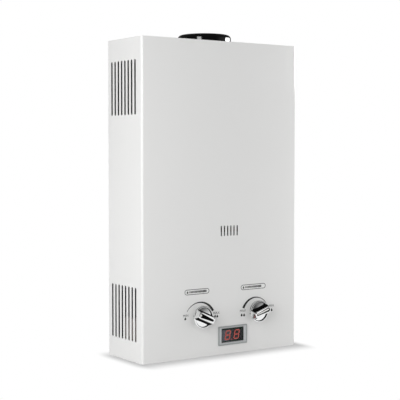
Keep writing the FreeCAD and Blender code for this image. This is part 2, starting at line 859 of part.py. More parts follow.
def build_bottom_plate():
    """Raised floor that holds the fittings; its foot lies on the cover's bottom lip."""
    foot = mm.lip_rise + mm.sheet_wall
    plate = tray("bottom_plate", foot, BOTTOM_INSIDE, foot + mm.sheet_wall)
    mouth = sketch(plate, "bottom_plate_mouth", "top", foot)
    rectangle(mouth, (-HALF + mm.lip_depth, FRONT + mm.lip_depth),
              (HALF - mm.lip_depth, BACK_INSIDE - mm.sheet_wall))
    pocket(plate, mouth, 2 * mm.sheet_wall, reverse=True)
    foot_holes = sketch(plate, "foot_holes", "top", foot)
    for side in (-1, 1):
        circle(foot_holes, side * mm.cover_screw_span / 2, COVER_SCREW_Y, mm.screw_radius)
    pocket(plate, foot_holes, 2 * mm.sheet_wall, reverse=True)
    holes = sketch(plate, "fitting_holes", "top", BOTTOM_INSIDE)
    union_hole = mm.union_neck_radius + mm.union_hole_gap
    circle(holes, mm.gas_axis, CORE_Y, union_hole)
    circle(holes, mm.water_axis, CORE_Y, union_hole)
    circle(holes, mm.hot_port, HOT_Y, union_hole)
    circle(holes, mm.water_axis, -mm.drain_depth, mm.drain_radius + mm.union_hole_gap)
    rectangle(holes, (BATTERY_LEFT, BATTERY_FRONT), (BATTERY_RIGHT, BATTERY_BACK))
    pocket(plate, holes, 2 * mm.sheet_wall)
    notch = sketch(plate, "display_notch", "top", BOTTOM_INSIDE)
    notch_half = mm.display_body_width / 2 + mm.notch_gap
    rectangle(notch, (mm.display_centre - notch_half, FRONT),
              (mm.display_centre + notch_half, FRONT_INSIDE + mm.display_body_depth + mm.notch_gap))
    pocket(plate, notch, BOTTOM_INSIDE - foot - mm.sheet_wall)
    return plate


def build_side_rails():
    """Upright angle on each side between the bottom and the top plate."""
    rails = []
    for side, label in ((-1, "left"), (1, "right")):
        outer = side * (HALF - mm.rail_inset)
        inner = side * (HALF - mm.rail_inset - mm.rail_wall)
        foot = side * (HALF - mm.rail_inset - mm.rail_foot)
        low, high = (outer, inner) if side < 0 else (inner, outer)
        web = box(label + "_rail_web", (low, BACK_INSIDE - mm.rail_width, BOTTOM_INSIDE),
                  (high, BACK_INSIDE, TOP_PLATE - mm.top_skirt))
        low, high = (outer, foot) if side < 0 else (foot, outer)
        leg = box(label + "_rail_leg", (low, BACK_INSIDE - mm.rail_wall, BOTTOM_INSIDE),
                  (high, BACK_INSIDE, TOP_PLATE - mm.top_skirt))
        rails.append(fuse(label + "_rail", web, leg))
    return group("side_rails", *rails)


# ---------------------------------------------------------------- flue

GASKET_TOP = TOP_PLATE + mm.gasket_wall
FLANGE_TOP = GASKET_TOP + mm.sheet_wall
FLUE_TOP = mm.case_height + mm.flue_rise


def build_flue_collar():
    """Pressed collar: a flange, a spigot down into the hood and a wall with a rolled-in rim."""
    collar = body("flue_collar")
    place(collar, 0, CORE_Y, 0)
    flange = sketch(collar, "flue_flange", "top", GASKET_TOP)
    rectangle(flange, (-mm.flue_flange_width / 2, -mm.flue_flange_depth / 2),
              (mm.flue_flange_width / 2, mm.flue_flange_depth / 2))
    pad(collar, flange, mm.sheet_wall)
    drum = sketch(collar, "flue_drum", "top", GASKET_TOP)
    circle(drum, 0, 0, mm.flue_radius)
    pad(collar, drum, FLUE_TOP - GASKET_TOP)
    spigot = sketch(collar, "flue_spigot", "top", TOP_PLATE - mm.spigot_drop)
    circle(spigot, 0, 0, mm.spigot_radius)
    pad(collar, spigot, FLANGE_TOP - TOP_PLATE + mm.spigot_drop)
    barrel = sketch(collar, "flue_barrel", "top", FLANGE_TOP)
    circle(barrel, 0, 0, mm.flue_radius - mm.flue_wall)
    pocket(collar, barrel, FLUE_TOP - FLANGE_TOP - mm.flue_wall, reverse=True)

    def hoop(radius, level):
        return lambda edge: (near(edge.BoundBox.XMax, radius) and near(edge.BoundBox.ZMin, level)
                             and near(edge.BoundBox.ZMax, level))

    round_edges(collar, "flue_rim", mm.flue_rim_radius, hoop(mm.flue_radius, FLUE_TOP))
    round_edges(collar, "flue_rim_inside", mm.flue_rim_radius - mm.flue_wall,
                hoop(mm.flue_radius - mm.flue_wall, FLUE_TOP - mm.flue_wall))
    mouth = sketch(collar, "flue_mouth", "top", FLUE_TOP)
    circle(mouth, 0, 0, mm.flue_radius - mm.flue_rim_radius)
    pocket(collar, mouth, FLUE_TOP - FLANGE_TOP)
    throat = sketch(collar, "flue_throat", "top", FLANGE_TOP + PAST)
    circle(throat, 0, 0, mm.spigot_radius - mm.sheet_wall)
    pocket(collar, throat, FLANGE_TOP - TOP_PLATE + mm.spigot_drop + 2 * PAST)
    holes = sketch(collar, "flue_flange_holes", "top", FLANGE_TOP)
    for side in (-1, 1):
        for depth in (-1, 1):
            circle(holes, side * mm.flue_screw_span / 2, depth * mm.flue_screw_depth / 2, mm.screw_hole_radius)
    pocket(collar, holes, 2 * mm.sheet_wall)
    return collar


def build_flue_gasket():
    gasket = body("flue_gasket")
    place(gasket, 0, CORE_Y, 0)
    outline = sketch(gasket, "gasket_outline", "top", TOP_PLATE)
    rectangle(outline, (-mm.flue_flange_width / 2, -mm.flue_flange_depth / 2),
              (mm.flue_flange_width / 2, mm.flue_flange_depth / 2))
    circle(outline, 0, 0, mm.spigot_radius)
    for side in (-1, 1):
        for depth in (-1, 1):
            circle(outline, side * mm.flue_screw_span / 2, depth * mm.flue_screw_depth / 2,
                   mm.screw_hole_radius)
    pad(gasket, outline, mm.gasket_wall)
    return gasket


# ---------------------------------------------------------------- heat exchanger and hood

def hood_screw_places():
    """Two screws through each side of the hood into the exchanger."""
    level = HOOD_LOW + mm.hood_overlap / 2
    quarter = (CORE_BACK - CORE_FRONT) / 4
    return [(side, CORE_Y + depth * quarter, level) for side in (-1, 1) for depth in (-1, 1)]


def build_exchanger_shell():
    """Copper box, open above and below; the fins fill its top and the coil wraps its lower part."""
    shell = body("exchanger_shell")
    outline = sketch(shell, "shell_outline", "top", EXCHANGER_LOW)
    rounded_rectangle(outline, (-CORE_HALF, CORE_FRONT), (CORE_HALF, CORE_BACK), CORE_CORNER)
    wall = mm.core_wall
    rounded_rectangle(outline, (-CORE_HALF + wall, CORE_FRONT + wall), (CORE_HALF - wall, CORE_BACK - wall),
                      CORE_CORNER - wall)
    pad(shell, outline, mm.exchanger_height)
    tube_holes = sketch(shell, "tube_hole", "side", 0)
    circle(tube_holes, CORE_Y - mm.tube_pitch * (mm.tube_count - 1) / 2, TUBE_LEVEL, TUBE_RADIUS)
    first_hole = pocket(shell, tube_holes, mm.core_width + 2 * PAST, symmetric=True)
    repeat(shell, first_hole, tube_holes, mm.tube_pitch, mm.tube_count)
    screw_holes = sketch(shell, "shell_screw_holes", "side", 0)
    for side, y, z in hood_screw_places()[:2]:
        circle(screw_holes, y, z, mm.small_screw_radius)
    pocket(shell, screw_holes, mm.core_width + 2 * PAST, symmetric=True)
    sight = sketch(shell, "sight_opening", "front", -CORE_FRONT)
    half = mm.sight_width / 2
    sight_low = FRAME_TOP + mm.notch_gap
    rectangle(sight, (mm.front_slot_centre - half, sight_low),
              (mm.front_slot_centre + half, sight_low + mm.sight_height))
    pocket(shell, sight, 2 * mm.core_wall)
    return shell


def build_fin_pack():
    """Thin copper fins, side by side, on the exchanger tubes."""
    first = -mm.fin_pitch * (mm.fin_count - 1) / 2
    fins = []
    for index in range(int(float(mm.fin_count))):
        x = first + index * mm.fin_pitch - mm.fin_wall / 2
        fins.append(box(f"fin_{index}", (x, CORE_FRONT + mm.core_wall, TUBE_LEVEL - mm.fin_height / 2),
                        (x + mm.fin_wall, CORE_BACK - mm.core_wall, TUBE_LEVEL + mm.fin_height / 2)))
    block = group("fin_blanks", *fins)
    holes = []
    for index in range(int(float(mm.tube_count))):
        y = CORE_Y + (index - (mm.tube_count - 1) / 2) * mm.tube_pitch
        holes.append(rod(f"fin_hole_{index}", (-CORE_HALF, y, TUBE_LEVEL), "X", TUBE_RADIUS, mm.core_width))
    return cut("fin_pack", block, *holes)


def tube_rows():
    """Y of each exchanger tube, from the back to the front."""
    middle = (mm.tube_count - 1) / 2
    return [CORE_Y + (middle - index) * mm.tube_pitch for index in range(int(float(mm.tube_count)))]


def build_exchanger_tubes():
    """One copper tube that crosses the fins back and forth, from the rear right."""
    corners = [(TUBE_END, tube_rows()[0], TUBE_LEVEL)]
    for index, y in enumerate(tube_rows()[:-1]):
        side = -1 if index % 2 == 0 else 1
        corners.append((side * TUBE_TURN, y, TUBE_LEVEL))
        corners.append((side * TUBE_TURN, tube_rows()[index + 1], TUBE_LEVEL))
    side = -1 if mm.tube_count.number % 2 == 1 else 1
    corners.append((side * TUBE_END, tube_rows()[-1], TUBE_LEVEL))
    return solid("exchanger_tubes", tube_shape(corners, TUBE_RADIUS, COIL_RADIUS, mm.tube_pitch / 2))



def build_chamber_coil():
    """Copper pipe: up from the cold pipe, round the shell, and into the rear exchanger tube."""
    corners = [(COIL_SIDE, COIL_TAIL_Y, COLD_END - mm.joint_overlap), (COIL_SIDE, COIL_TAIL_Y, COIL_LOW)]
    turns = int(float(mm.coil_turns))
    riser_x = TUBE_END + mm.coil_reach
    for turn in range(turns):
        level = COIL_LOW + turn * mm.coil_pitch
        following = level + mm.coil_pitch
        last_x = riser_x if turn == turns - 1 else COIL_SIDE
        corners += [(COIL_SIDE, COIL_FRONT, level), (-COIL_SIDE, COIL_FRONT, level),
                    (-COIL_SIDE, COIL_BACK, level), (-CORE_HALF / 2, COIL_BACK, level),
                    (CORE_HALF / 2, COIL_BACK, following), (last_x, COIL_BACK, following)]
    corners += [(riser_x, tube_rows()[0], TUBE_LEVEL), (TUBE_END - mm.joint_overlap, tube_rows()[0], TUBE_LEVEL)]
    return solid("chamber_coil", tube_shape(corners, COIL_RADIUS, mm.coil_bore, mm.coil_bend))


def build_exhaust_hood():
    """Sheet hood that narrows from the exchanger to the flue, with a draught opening in front."""
    hood = body("exhaust_hood")
    wall = mm.sheet_wall

    def outline(label, offset, inset):
        profile = sketch(hood, label, "front", offset)
        foot = CORE_HALF + wall - inset
        top = mm.hood_top_width / 2 - inset
        shoulder = HOOD_LOW + mm.hood_skirt
        neck = TOP_INSIDE - mm.hood_neck
        return polygon(profile, [(-foot, HOOD_LOW), (foot, HOOD_LOW), (foot, shoulder), (top, neck),
                                 (top, TOP_INSIDE - inset), (-top, TOP_INSIDE - inset), (-top, neck),
                                 (-foot, shoulder)])

    pad(hood, outline("hood_outline", -CORE_BACK - wall, 0), CORE_BACK - CORE_FRONT + 2 * wall)
    pocket(hood, outline("hood_cavity", -CORE_FRONT, wall), CORE_BACK - CORE_FRONT)
    top_hole = sketch(hood, "hood_top_hole", "top", TOP_INSIDE)
    circle(top_hole, 0, CORE_Y, mm.spigot_radius + mm.panel_gap)
    pocket(hood, top_hole, 2 * wall)
    draught = sketch(hood, "draught_opening", "front", -CORE_FRONT + wall)
    low = EXCHANGER_TOP + mm.draught_lift
    rectangle(draught, (-mm.draught_width / 2, low), (mm.draught_width / 2, low + mm.draught_height))
    pocket(hood, draught, 2 * wall)
    screw_holes = sketch(hood, "hood_screw_holes", "side", 0)
    for side, y, z in hood_screw_places()[:2]:
        circle(screw_holes, y, z, mm.small_screw_radius)
    pocket(hood, screw_holes, mm.core_width + 4 * wall, symmetric=True)
    return hood


def standoffs(label, front, low):
    """Two short box sections between the back plate and the part in front of it."""
    pair = []
    for side, name in ((-1, "left"), (1, "right")):
        middle = side * CORE_HALF / 2
        half = mm.bracket_foot / 2 + mm.bracket_wall
        wall = mm.bracket_wall
        outer = box(f"{label}_{name}_outer", (middle - half, front, low),
                    (middle + half, BACK_INSIDE, low + mm.bracket_height))
        inner = box(f"{label}_{name}_inner", (middle - half + wall, front + wall, low - PAST),
                    (middle + half - wall, BACK_INSIDE - wall, low + mm.bracket_height + PAST))
        pair.append(cut(f"{label}_{name}", outer, inner))
    return group(label, *pair)


# ---------------------------------------------------------------- burner

def bar_places():
    """X of each burner bar."""
    middle = (mm.burner_bar_count - 1) / 2
    return [(index - middle) * mm.burner_bar_pitch for index in range(int(float(mm.burner_bar_count)))]


ELECTRODE_X = -1.5 * mm.burner_bar_pitch
SENSOR_X = 2.5 * mm.burner_bar_pitch


def build_burner_frame():
    frame = body("burner_frame")
    outline = sketch(frame, "frame_outline", "top", mm.burner_base)
    wall = mm.sheet_wall
    corner = CORE_CORNER - mm.core_wall
    rounded_rectangle(outline, (-FRAME_HALF, FRAME_FRONT), (FRAME_HALF, FRAME_BACK), corner)
    rounded_rectangle(outline, (-FRAME_HALF + wall, FRAME_FRONT + wall), (FRAME_HALF - wall, FRAME_BACK - wall),
                      corner - wall)
    pad(frame, outline, mm.burner_height)
    holes = sketch(frame, "frame_injector_holes", "front", -FRAME_FRONT)
    for x in bar_places():
        circle(holes, x, MANIFOLD_LEVEL, mm.injector_radius + mm.panel_gap)
    for x in (ELECTRODE_X, SENSOR_X):
        circle(holes, x, ELECTRODE_LEVEL, mm.electrode_radius)
    pocket(frame, holes, 2 * wall)
    return frame


def build_burner_bars():
    """Pressed bars: a mixing tube below and a slotted blade above, all alike."""
    front = FRAME_FRONT + mm.sheet_wall
    back = FRAME_BACK - mm.sheet_wall
    mouth = front + mm.injector_reach + mm.injector_gap
    half = mm.burner_bar_width / 2
    top = mm.burner_base + mm.burner_bar_lift + mm.burner_bar_height
    shoulder = MANIFOLD_LEVEL + 2 * mm.mixer_radius
    blade = box("bar_blade", (-half, front, shoulder), (half, back, top))
    web = box("bar_web", (-half, mouth, MANIFOLD_LEVEL), (half, back, shoulder))
    mixer = rod("bar_mixer", (0, mouth, MANIFOLD_LEVEL), "Y", mm.mixer_radius, back - mouth)
    bore = rod("bar_bore", (0, mouth, MANIFOLD_LEVEL), "Y", mm.mixer_bore,
               back - mouth - mm.mixer_end)
    ports = []
    pitch = (back - front) / (mm.port_count + 1)
    for index in range(int(float(mm.port_count))):
        y = front + (index + 1) * pitch
        ports.append(box(f"bar_port_{index}",
                         (-half + mm.port_margin, y - mm.port_width / 2, top - mm.port_depth),
                         (half - mm.port_margin, y + mm.port_width / 2, top)))
    bar = cut("burner_bar", fuse("bar_blank", blade, web, mixer), bore, *ports)
    return row_of("burner_bars", bar, [(x, 0, 0) for x in bar_places()])


def row_of(label, item, places):
    """Copies of one piece at each place, as separate solids of one node."""
    copies = []
    for index, spot in enumerate(places):
        copy = document.addObject("App::Link", f"{label}_{index}")
        copy.LinkedObject = item
        place(copy, *spot)
        copies.append(copy)
    return group(label, *copies)


def build_gas_manifold():
    half = CORE_HALF - mm.manifold_inset
    outer = rod("manifold_outer", (-half, MANIFOLD_Y, MANIFOLD_LEVEL), "X", mm.manifold_radius, 2 * half)
    wall = mm.manifold_radius - mm.manifold_bore
    inner = rod("manifold_inner", (-half + wall, MANIFOLD_Y, MANIFOLD_LEVEL), "X", mm.manifold_bore,
                2 * half - 2 * wall)
    seats = [rod(f"injector_seat_{index}", (x, MANIFOLD_Y, MANIFOLD_LEVEL), "Y", mm.injector_radius,
                 mm.manifold_radius + PAST) for index, x in enumerate(bar_places())]
    return cut("gas_manifold", outer, inner, *seats)


def build_injectors():
    start = MANIFOLD_Y + mm.manifold_bore - SINK
    tip = FRAME_FRONT + mm.sheet_wall + mm.injector_reach
    outer = rod("injector_outer", (0, start, MANIFOLD_LEVEL), "Y", mm.injector_radius, tip - start)
    bore = rod("injector_bore", (0, start, MANIFOLD_LEVEL), "Y", mm.injector_bore, tip - start)
    return row_of("injectors", cut("injector", outer, bore), [(x, 0, 0) for x in bar_places()])


def build_gas_riser():
    corners = [(mm.gas_axis, CORE_Y, VALVE_TOP), (mm.gas_axis, CORE_Y, mm.riser_level),
               (mm.gas_axis, MANIFOLD_Y, mm.riser_level),
               (mm.gas_axis, MANIFOLD_Y, MANIFOLD_LEVEL - mm.manifold_radius / 2)]
    pipe = solid("riser_pipe", tube_shape(corners, mm.riser_radius, mm.riser_bore, mm.riser_bend))
    saddle = rod("riser_saddle", (mm.gas_axis - 2 * mm.riser_radius, MANIFOLD_Y, MANIFOLD_LEVEL), "X",
                 mm.manifold_radius, 4 * mm.riser_radius)
    return cut("gas_riser", pipe, saddle)


# ---------------------------------------------------------------- ignition

def build_probe(label, x):
    """Ceramic rod through the burner frame, with a bent wire tip and a push-on boot."""
    front = FRAME_FRONT - mm.electrode_depth
    ceramic_end = FRAME_FRONT + mm.sheet_wall + mm.electrode_depth
    ceramic = rod(label + "_ceramic", (x, front, ELECTRODE_LEVEL), "Y", mm.electrode_radius,
                  ceramic_end - front)
    bend = 2 * mm.electrode_tip_radius
    corners = [(x, ceramic_end - SINK, ELECTRODE_LEVEL),
               (x, ceramic_end + mm.electrode_tip_reach, ELECTRODE_LEVEL),
               (x, ceramic_end + mm.electrode_tip_reach, ELECTRODE_LEVEL + mm.electrode_tip_rise)]
    tip = solid(label + "_tip", tube_shape(corners, mm.electrode_tip_radius, None, bend))
    half = mm.boot_width / 2
    boot = box(label + "_boot", (x - half, front - mm.boot_depth, ELECTRODE_LEVEL - half),
               (x + half, front, ELECTRODE_LEVEL + half))
    return fuse(label, ceramic, tip, boot)


def build_overheat_cutout():
    x = mm.cutout_place
    half = mm.cutout_radius / 2
    disc = rod("cutout_disc", (x, CORE_FRONT - mm.cutout_depth, TUBE_LEVEL), "Y", mm.cutout_radius,
               mm.cutout_depth)
    ear = box("cutout_ear", (x - mm.cutout_ear_reach, CORE_FRONT - mm.cutout_ear_wall, TUBE_LEVEL - half),
              (x + mm.cutout_ear_reach, CORE_FRONT, TUBE_LEVEL + half))
    return fuse("overheat_cutout", disc, ear)


def build_ignition_controller():
    case = body("ignition_controller")
    outline = sketch(case, "controller_outline", "top", BOTTOM_INSIDE)
    rounded_rectangle(outline, (CONTROLLER_LEFT, CONTROLLER_BACK - mm.controller_depth),
                      (CONTROLLER_RIGHT, CONTROLLER_BACK), mm.controller_corner)
    pad(case, outline, mm.controller_height)
    return case


def probe_leads():
    """From each probe's boot down beside the shell and over to the top of the controller."""
    boot_low = ELECTRODE_LEVEL - mm.boot_width / 2
    boot_middle = FRAME_FRONT - mm.electrode_depth - mm.boot_depth / 2
    across = boot_low - mm.lead_drop
    landing_y = CONTROLLER_BACK - mm.controller_depth / 2
    leads = []
    for index, x in enumerate((ELECTRODE_X, SENSOR_X)):
        y = boot_middle + (1 - 2 * index) * (mm.lead_radius + mm.panel_gap)
        side = CORE_HALF + mm.lead_side + mm.lead_spread * index
        over = CONTROLLER_TOP + mm.lead_arch + mm.lead_spread * index
        landing = CONTROLLER_LEFT + mm.lead_landing + mm.lead_landing_pitch * index
        leads.append([(x, y, boot_low), (x, y, across), (side, y, across), (side, y, over),
                      (landing, landing_y, over), (landing, landing_y, CONTROLLER_TOP)])
    return leads


def display_lead():
    back = FRONT_INSIDE + mm.display_body_depth
    level = mm.display_level + mm.display_body_height / 4
    x = mm.display_centre + mm.display_body_width / 4
    return [(x, back, level), (x, back + mm.lead_clear, level), (CONTROLLER_LEFT, back + mm.lead_clear, level)]


def battery_lead():
    """From the back of the battery box, along the wall behind the valves, to the back of the controller."""
    along = BACK_INSIDE - mm.lead_drop
    landing = CONTROLLER_LEFT + mm.lead_landing
    return [(BATTERY_MIDDLE, BATTERY_BACK, CELL_LEVEL), (BATTERY_MIDDLE, along, CELL_LEVEL),
            (landing, along, CELL_LEVEL), (landing, CONTROLLER_BACK, CELL_LEVEL)]


def build_wiring():
    """Insulated leads, each a separate solid, from end to end."""
    leads = [*probe_leads(), display_lead(), battery_lead()]
    shapes = [tube_shape(corners, mm.lead_radius, None, mm.lead_bend) for corners in leads]
    return solid("wiring", Part.makeCompound(shapes))


# ---------------------------------------------------------------- gas and water controls

def valve_block(label, axis):
    """Cast block with a neck down to the floor and a boss towards the front."""
    half = mm.valve_width / 2
    block = box(label + "_block", (axis - half, VALVE_FRONT, VALVE_LOW), (axis + half, VALVE_BACK, VALVE_TOP))
    neck = rod(label + "_neck", (axis, CORE_Y, BOTTOM_INSIDE), "Z", mm.valve_neck_radius,
               VALVE_LOW - BOTTOM_INSIDE + SINK)
    boss = rod(label + "_boss", (axis, BOSS_FRONT, mm.knob_level), "Y", mm.boss_radius, mm.boss_length + SINK)
    return [block, neck, boss]


def valve_bores(label, axis):
    seat = rod(label + "_union_seat", (axis, CORE_Y, mm.plate_level), "Z", mm.union_neck_radius,
               mm.union_neck_length)
    spindle = rod(label + "_spindle_bore", (axis, BOSS_FRONT, mm.knob_level), "Y",
                  mm.spindle_radius + mm.running_gap, mm.spindle_depth)
    return [seat, spindle]


def build_gas_valve_body():
    blank = fuse("gas_valve_blank", *valve_block("gas_valve", mm.gas_axis))
    bore_end = PUSH_END - mm.push_rod_travel - mm.push_end_gap
    rod_bore = rod("gas_push_bore", (bore_end, CORE_Y, mm.knob_level), "X",
                   mm.push_rod_radius + mm.running_gap, GAS_FACE + PAST - bore_end)
    return cut("gas_valve_body", blank, rod_bore, *valve_bores("gas_valve", mm.gas_axis))


def build_gas_solenoid():
    can = rod("solenoid_can", (mm.gas_axis, VALVE_BACK, mm.knob_level), "Y", mm.solenoid_radius,
              mm.solenoid_length)
    cap = rod("solenoid_cap", (mm.gas_axis, VALVE_BACK + mm.solenoid_length, mm.knob_level), "Y",
              mm.solenoid_cap_radius, mm.solenoid_cap_length)
    return fuse("gas_solenoid", can, cap)


def disc_screw_places():
    count = int(float(mm.disc_screw_count))
    angles = [2 * math.pi * (index + 0.5) / count for index in range(count)]
    return [(CORE_Y + mm.disc_screw_circle * math.cos(angle),
             mm.knob_level + mm.disc_screw_circle * math.sin(angle)) for angle in angles]


def disc_screw_holes(label, start, length):
    return [rod(f"{label}_{index}", (start, y, z), "X", mm.small_screw_radius, length)
            for index, (y, z) in enumerate(disc_screw_places())]


def build_water_valve_body():
    blocks = valve_block("water_valve", mm.water_axis)
    disc = rod("water_disc", (DISC_FACE, CORE_Y, mm.knob_level), "X", mm.disc_radius,
               mm.disc_wall + SINK)
    drain = rod("drain_boss", (mm.water_axis, -mm.drain_depth, BOTTOM_INSIDE), "Z",
                mm.drain_radius + mm.drain_wall, VALVE_LOW - BOTTOM_INSIDE + mm.drain_boss_rise)
    drain_bore = rod("drain_bore", (mm.water_axis, -mm.drain_depth, BOTTOM_INSIDE), "Z", mm.drain_radius,
                     mm.union_neck_length)
    blank = fuse("water_valve_blank", disc, drain, *blocks)
    return cut("water_valve_body", blank, drain_bore, *valve_bores("water_valve", mm.water_axis),
               *disc_screw_holes("disc_screw_hole", DISC_FACE, mm.disc_screw_grip))


def build_diaphragm():
    disc = rod("diaphragm_disc", (COVER_FACE, CORE_Y, mm.knob_level), "X", mm.disc_radius, mm.diaphragm_wall)
    return cut("diaphragm", disc, *disc_screw_holes("diaphragm_hole", COVER_FACE, mm.diaphragm_wall))


def build_diaphragm_cover():
    disc = rod("cover_disc", (COVER_END, CORE_Y, mm.knob_level), "X", mm.disc_radius, mm.cover_wall)
    cavity = rod("cover_chamber", (COVER_FACE - mm.cover_cavity_depth, CORE_Y, mm.knob_level), "X",
                 mm.cover_cavity_radius, mm.cover_cavity_depth)
    bore = rod("cover_push_bore", (COVER_END, CORE_Y, mm.knob_level), "X",
               mm.push_rod_radius + mm.running_gap, mm.cover_wall)
    return cut("diaphragm_cover", disc, cavity, bore,
               *disc_screw_holes("cover_screw_hole", COVER_END, mm.cover_wall))


def build_diaphragm_screws():
    length = mm.cover_wall + mm.diaphragm_wall + mm.disc_screw_grip
    screws = [screw((COVER_END, y, z), (1, 0, 0), length, mm.small_screw_radius, mm.small_screw_head)
              for y, z in disc_screw_places()]
    return solid("diaphragm_screws", Part.makeCompound(screws))


LEVER_X = SWITCH_END + mm.lever_offset
LEVER_Z = SWITCH_LOW + mm.lever_rise
LEVER_TIP = mm.knob_level + mm.push_rod_radius + mm.lever_tip_gap


def build_push_rod():
    """Rod from the diaphragm to the gas valve, with a plate at one end and a collar for the switch."""
    shaft = rod("push_shaft", (PUSH_END, CORE_Y, mm.knob_level), "X", mm.push_rod_radius, COVER_FACE - PUSH_END)
    plate = rod("push_plate", (COVER_FACE - mm.push_plate_wall, CORE_Y, mm.knob_level), "X",
                mm.push_plate_radius, mm.push_plate_wall)
    collar = rod("push_collar", (LEVER_X + mm.lever_wall / 2 + mm.lid_gap, CORE_Y, mm.knob_level), "X",
                 mm.collar_radius, mm.collar_wall)
    return fuse("push_rod", shaft, plate, collar)


def build_micro_switch():
    half = mm.switch_depth / 2
    case = box("switch_case", (GAS_FACE, CORE_Y - half, SWITCH_LOW),
               (SWITCH_END, CORE_Y + half, SWITCH_LOW + mm.switch_height))
    ears = []
    for name, low in (("front", CORE_Y - half), ("back", CORE_Y + half - mm.switch_ear_wall)):
        ears.append(box(f"switch_ear_{name}", (SWITCH_END - SINK, low, SWITCH_LOW),
                        (SWITCH_END + mm.switch_ear_reach, low + mm.switch_ear_wall,
                         SWITCH_LOW + mm.switch_ear_height)))
    bore = rod("switch_pivot_bore", (LEVER_X, CORE_Y - half, LEVER_Z), "Y",
               mm.lever_pivot_radius + mm.running_gap, mm.switch_depth)
    return cut("micro_switch", fuse("switch_blank", case, *ears), bore)


def build_switch_lever():
    half = mm.switch_depth / 2
    arm_half = mm.lever_width / 2
    arm = box("lever_arm", (LEVER_X - mm.lever_wall / 2, CORE_Y - arm_half, LEVER_TIP),
              (LEVER_X + mm.lever_wall / 2, CORE_Y + arm_half, LEVER_Z))
    pivot = rod("lever_pivot", (LEVER_X, CORE_Y - half, LEVER_Z), "Y", mm.lever_pivot_radius, mm.switch_depth)
    return fuse("switch_lever", arm, pivot)


# ---------------------------------------------------------------- pipe connections

def union(label, x, y):
    """G 1/2 fitting: thread, hexagon under the floor and a neck up through it."""
    hex_height = mm.plate_level - mm.washer_wall - UNION_HEX_LOW
    thread = rod(label + "_thread", (x, y, mm.thread_start), "Z", mm.thread_radius, mm.thread_length)
    nut = hexagon(label + "_hexagon", (x, y, UNION_HEX_LOW), mm.hex_radius, hex_height)
    neck_height = mm.plate_level + mm.union_neck_length - UNION_HEX_LOW
    neck = rod(label + "_neck", (x, y, UNION_HEX_LOW), "Z", mm.union_neck_radius, neck_height)
    bore = rod(label + "_bore", (x, y, mm.thread_start), "Z", mm.port_bore_radius,
               mm.plate_level + mm.union_neck_length - mm.thread_start)
    return cut(label, fuse(label + "_blank", thread, nut, neck), bore)


UNION_PLACES = {
    "gas_inlet": (mm.gas_axis, CORE_Y),
    "cold_inlet": (mm.water_axis, CORE_Y),
    "hot_outlet": (mm.hot_port, HOT_Y),
}


def build_sealing_washers():
    washers = []
    for label, (x, y) in UNION_PLACES.items():
        low = mm.plate_level - mm.washer_wall
        outer = rod(label + "_washer_outer", (x, y, low), "Z", mm.union_neck_radius + mm.washer_brim,
                    mm.washer_wall)
        inner = rod(label + "_washer_inner", (x, y, low), "Z", mm.union_neck_radius, mm.washer_wall)
        washers.append(cut(label + "_washer", outer, inner))
    return group("sealing_washers", *washers)


def build_inlet_strainer():
    x, y = UNION_PLACES["cold_inlet"]
    low = mm.thread_start + mm.strainer_lift
    cup = rod("strainer_cup", (x, y, low), "Z", mm.port_bore_radius, mm.strainer_length)
    hollow = rod("strainer_hollow", (x, y, low), "Z", mm.port_bore_radius - mm.strainer_wall,
                 mm.strainer_length - mm.strainer_wall)
    return cut("inlet_strainer", cup, hollow)


def build_hot_outlet_block():
    x, y = UNION_PLACES["hot_outlet"]
    blank = rod("hot_block_blank", (x, y, BOTTOM_INSIDE), "Z", mm.hot_block_radius, mm.hot_block_height)
    seat = rod("hot_union_seat", (x, y, mm.plate_level), "Z", mm.union_neck_radius, mm.union_neck_length)
    pipe_seat = rod("hot_pipe_seat", (x, y, mm.plate_level), "Z", COIL_RADIUS,
                    mm.sheet_wall + mm.hot_block_height + PAST)
    return cut("hot_outlet_block", blank, seat, pipe_seat)


def build_hot_pipe():
    """From the front exchanger tube down the left side and across to the hot outlet."""
    x, y = UNION_PLACES["hot_outlet"]
    front = tube_rows()[-1]
    side = -mm.hot_pipe_side
    corners = [(-TUBE_END + mm.joint_overlap, front, TUBE_LEVEL), (side, front, TUBE_LEVEL),
               (side, front, mm.hot_pipe_level), (side, y, mm.hot_pipe_level), (x, y, mm.hot_pipe_level),
               (x, y, mm.plate_level + mm.union_neck_length)]
    return solid("hot_pipe", tube_shape(corners, COIL_RADIUS, mm.coil_bore, mm.coil_bend))


def build_cold_pipe():
    """From the water valve up to the coil's tail, which plugs into its end."""
    level = VALVE_TOP + mm.cold_rise
    corners = [(mm.water_axis, CORE_Y, VALVE_TOP), (mm.water_axis, CORE_Y, level),
               (COIL_SIDE, COIL_TAIL_Y, level), (COIL_SIDE, COIL_TAIL_Y, COLD_END)]
    return solid("cold_pipe", tube_shape(corners, TUBE_RADIUS, COIL_RADIUS, mm.coil_bend))


def build_drain_plug():
    y = -mm.drain_depth
    head = rod("drain_head", (mm.water_axis, y, mm.plate_level - mm.drain_head_height), "Z",
               mm.drain_head_radius, mm.drain_head_height)
    shank = rod("drain_shank", (mm.water_axis, y, mm.plate_level - SINK), "Z", mm.drain_radius,
                mm.union_neck_length)
    return fuse("drain_plug", head, shank)


# ---------------------------------------------------------------- knobs and display

def turned_place(item, axis, pointer):
    """Puts a control piece, made on the Y axis, on its own axis with its pointer turned."""
    item.Placement = Placement(Vector(), Rotation(Vector(0, -1, 0), pointer.number))
    bind(item, Placement_Rotation_Angle=pointer)
    place(item, axis, 0, mm.knob_level)


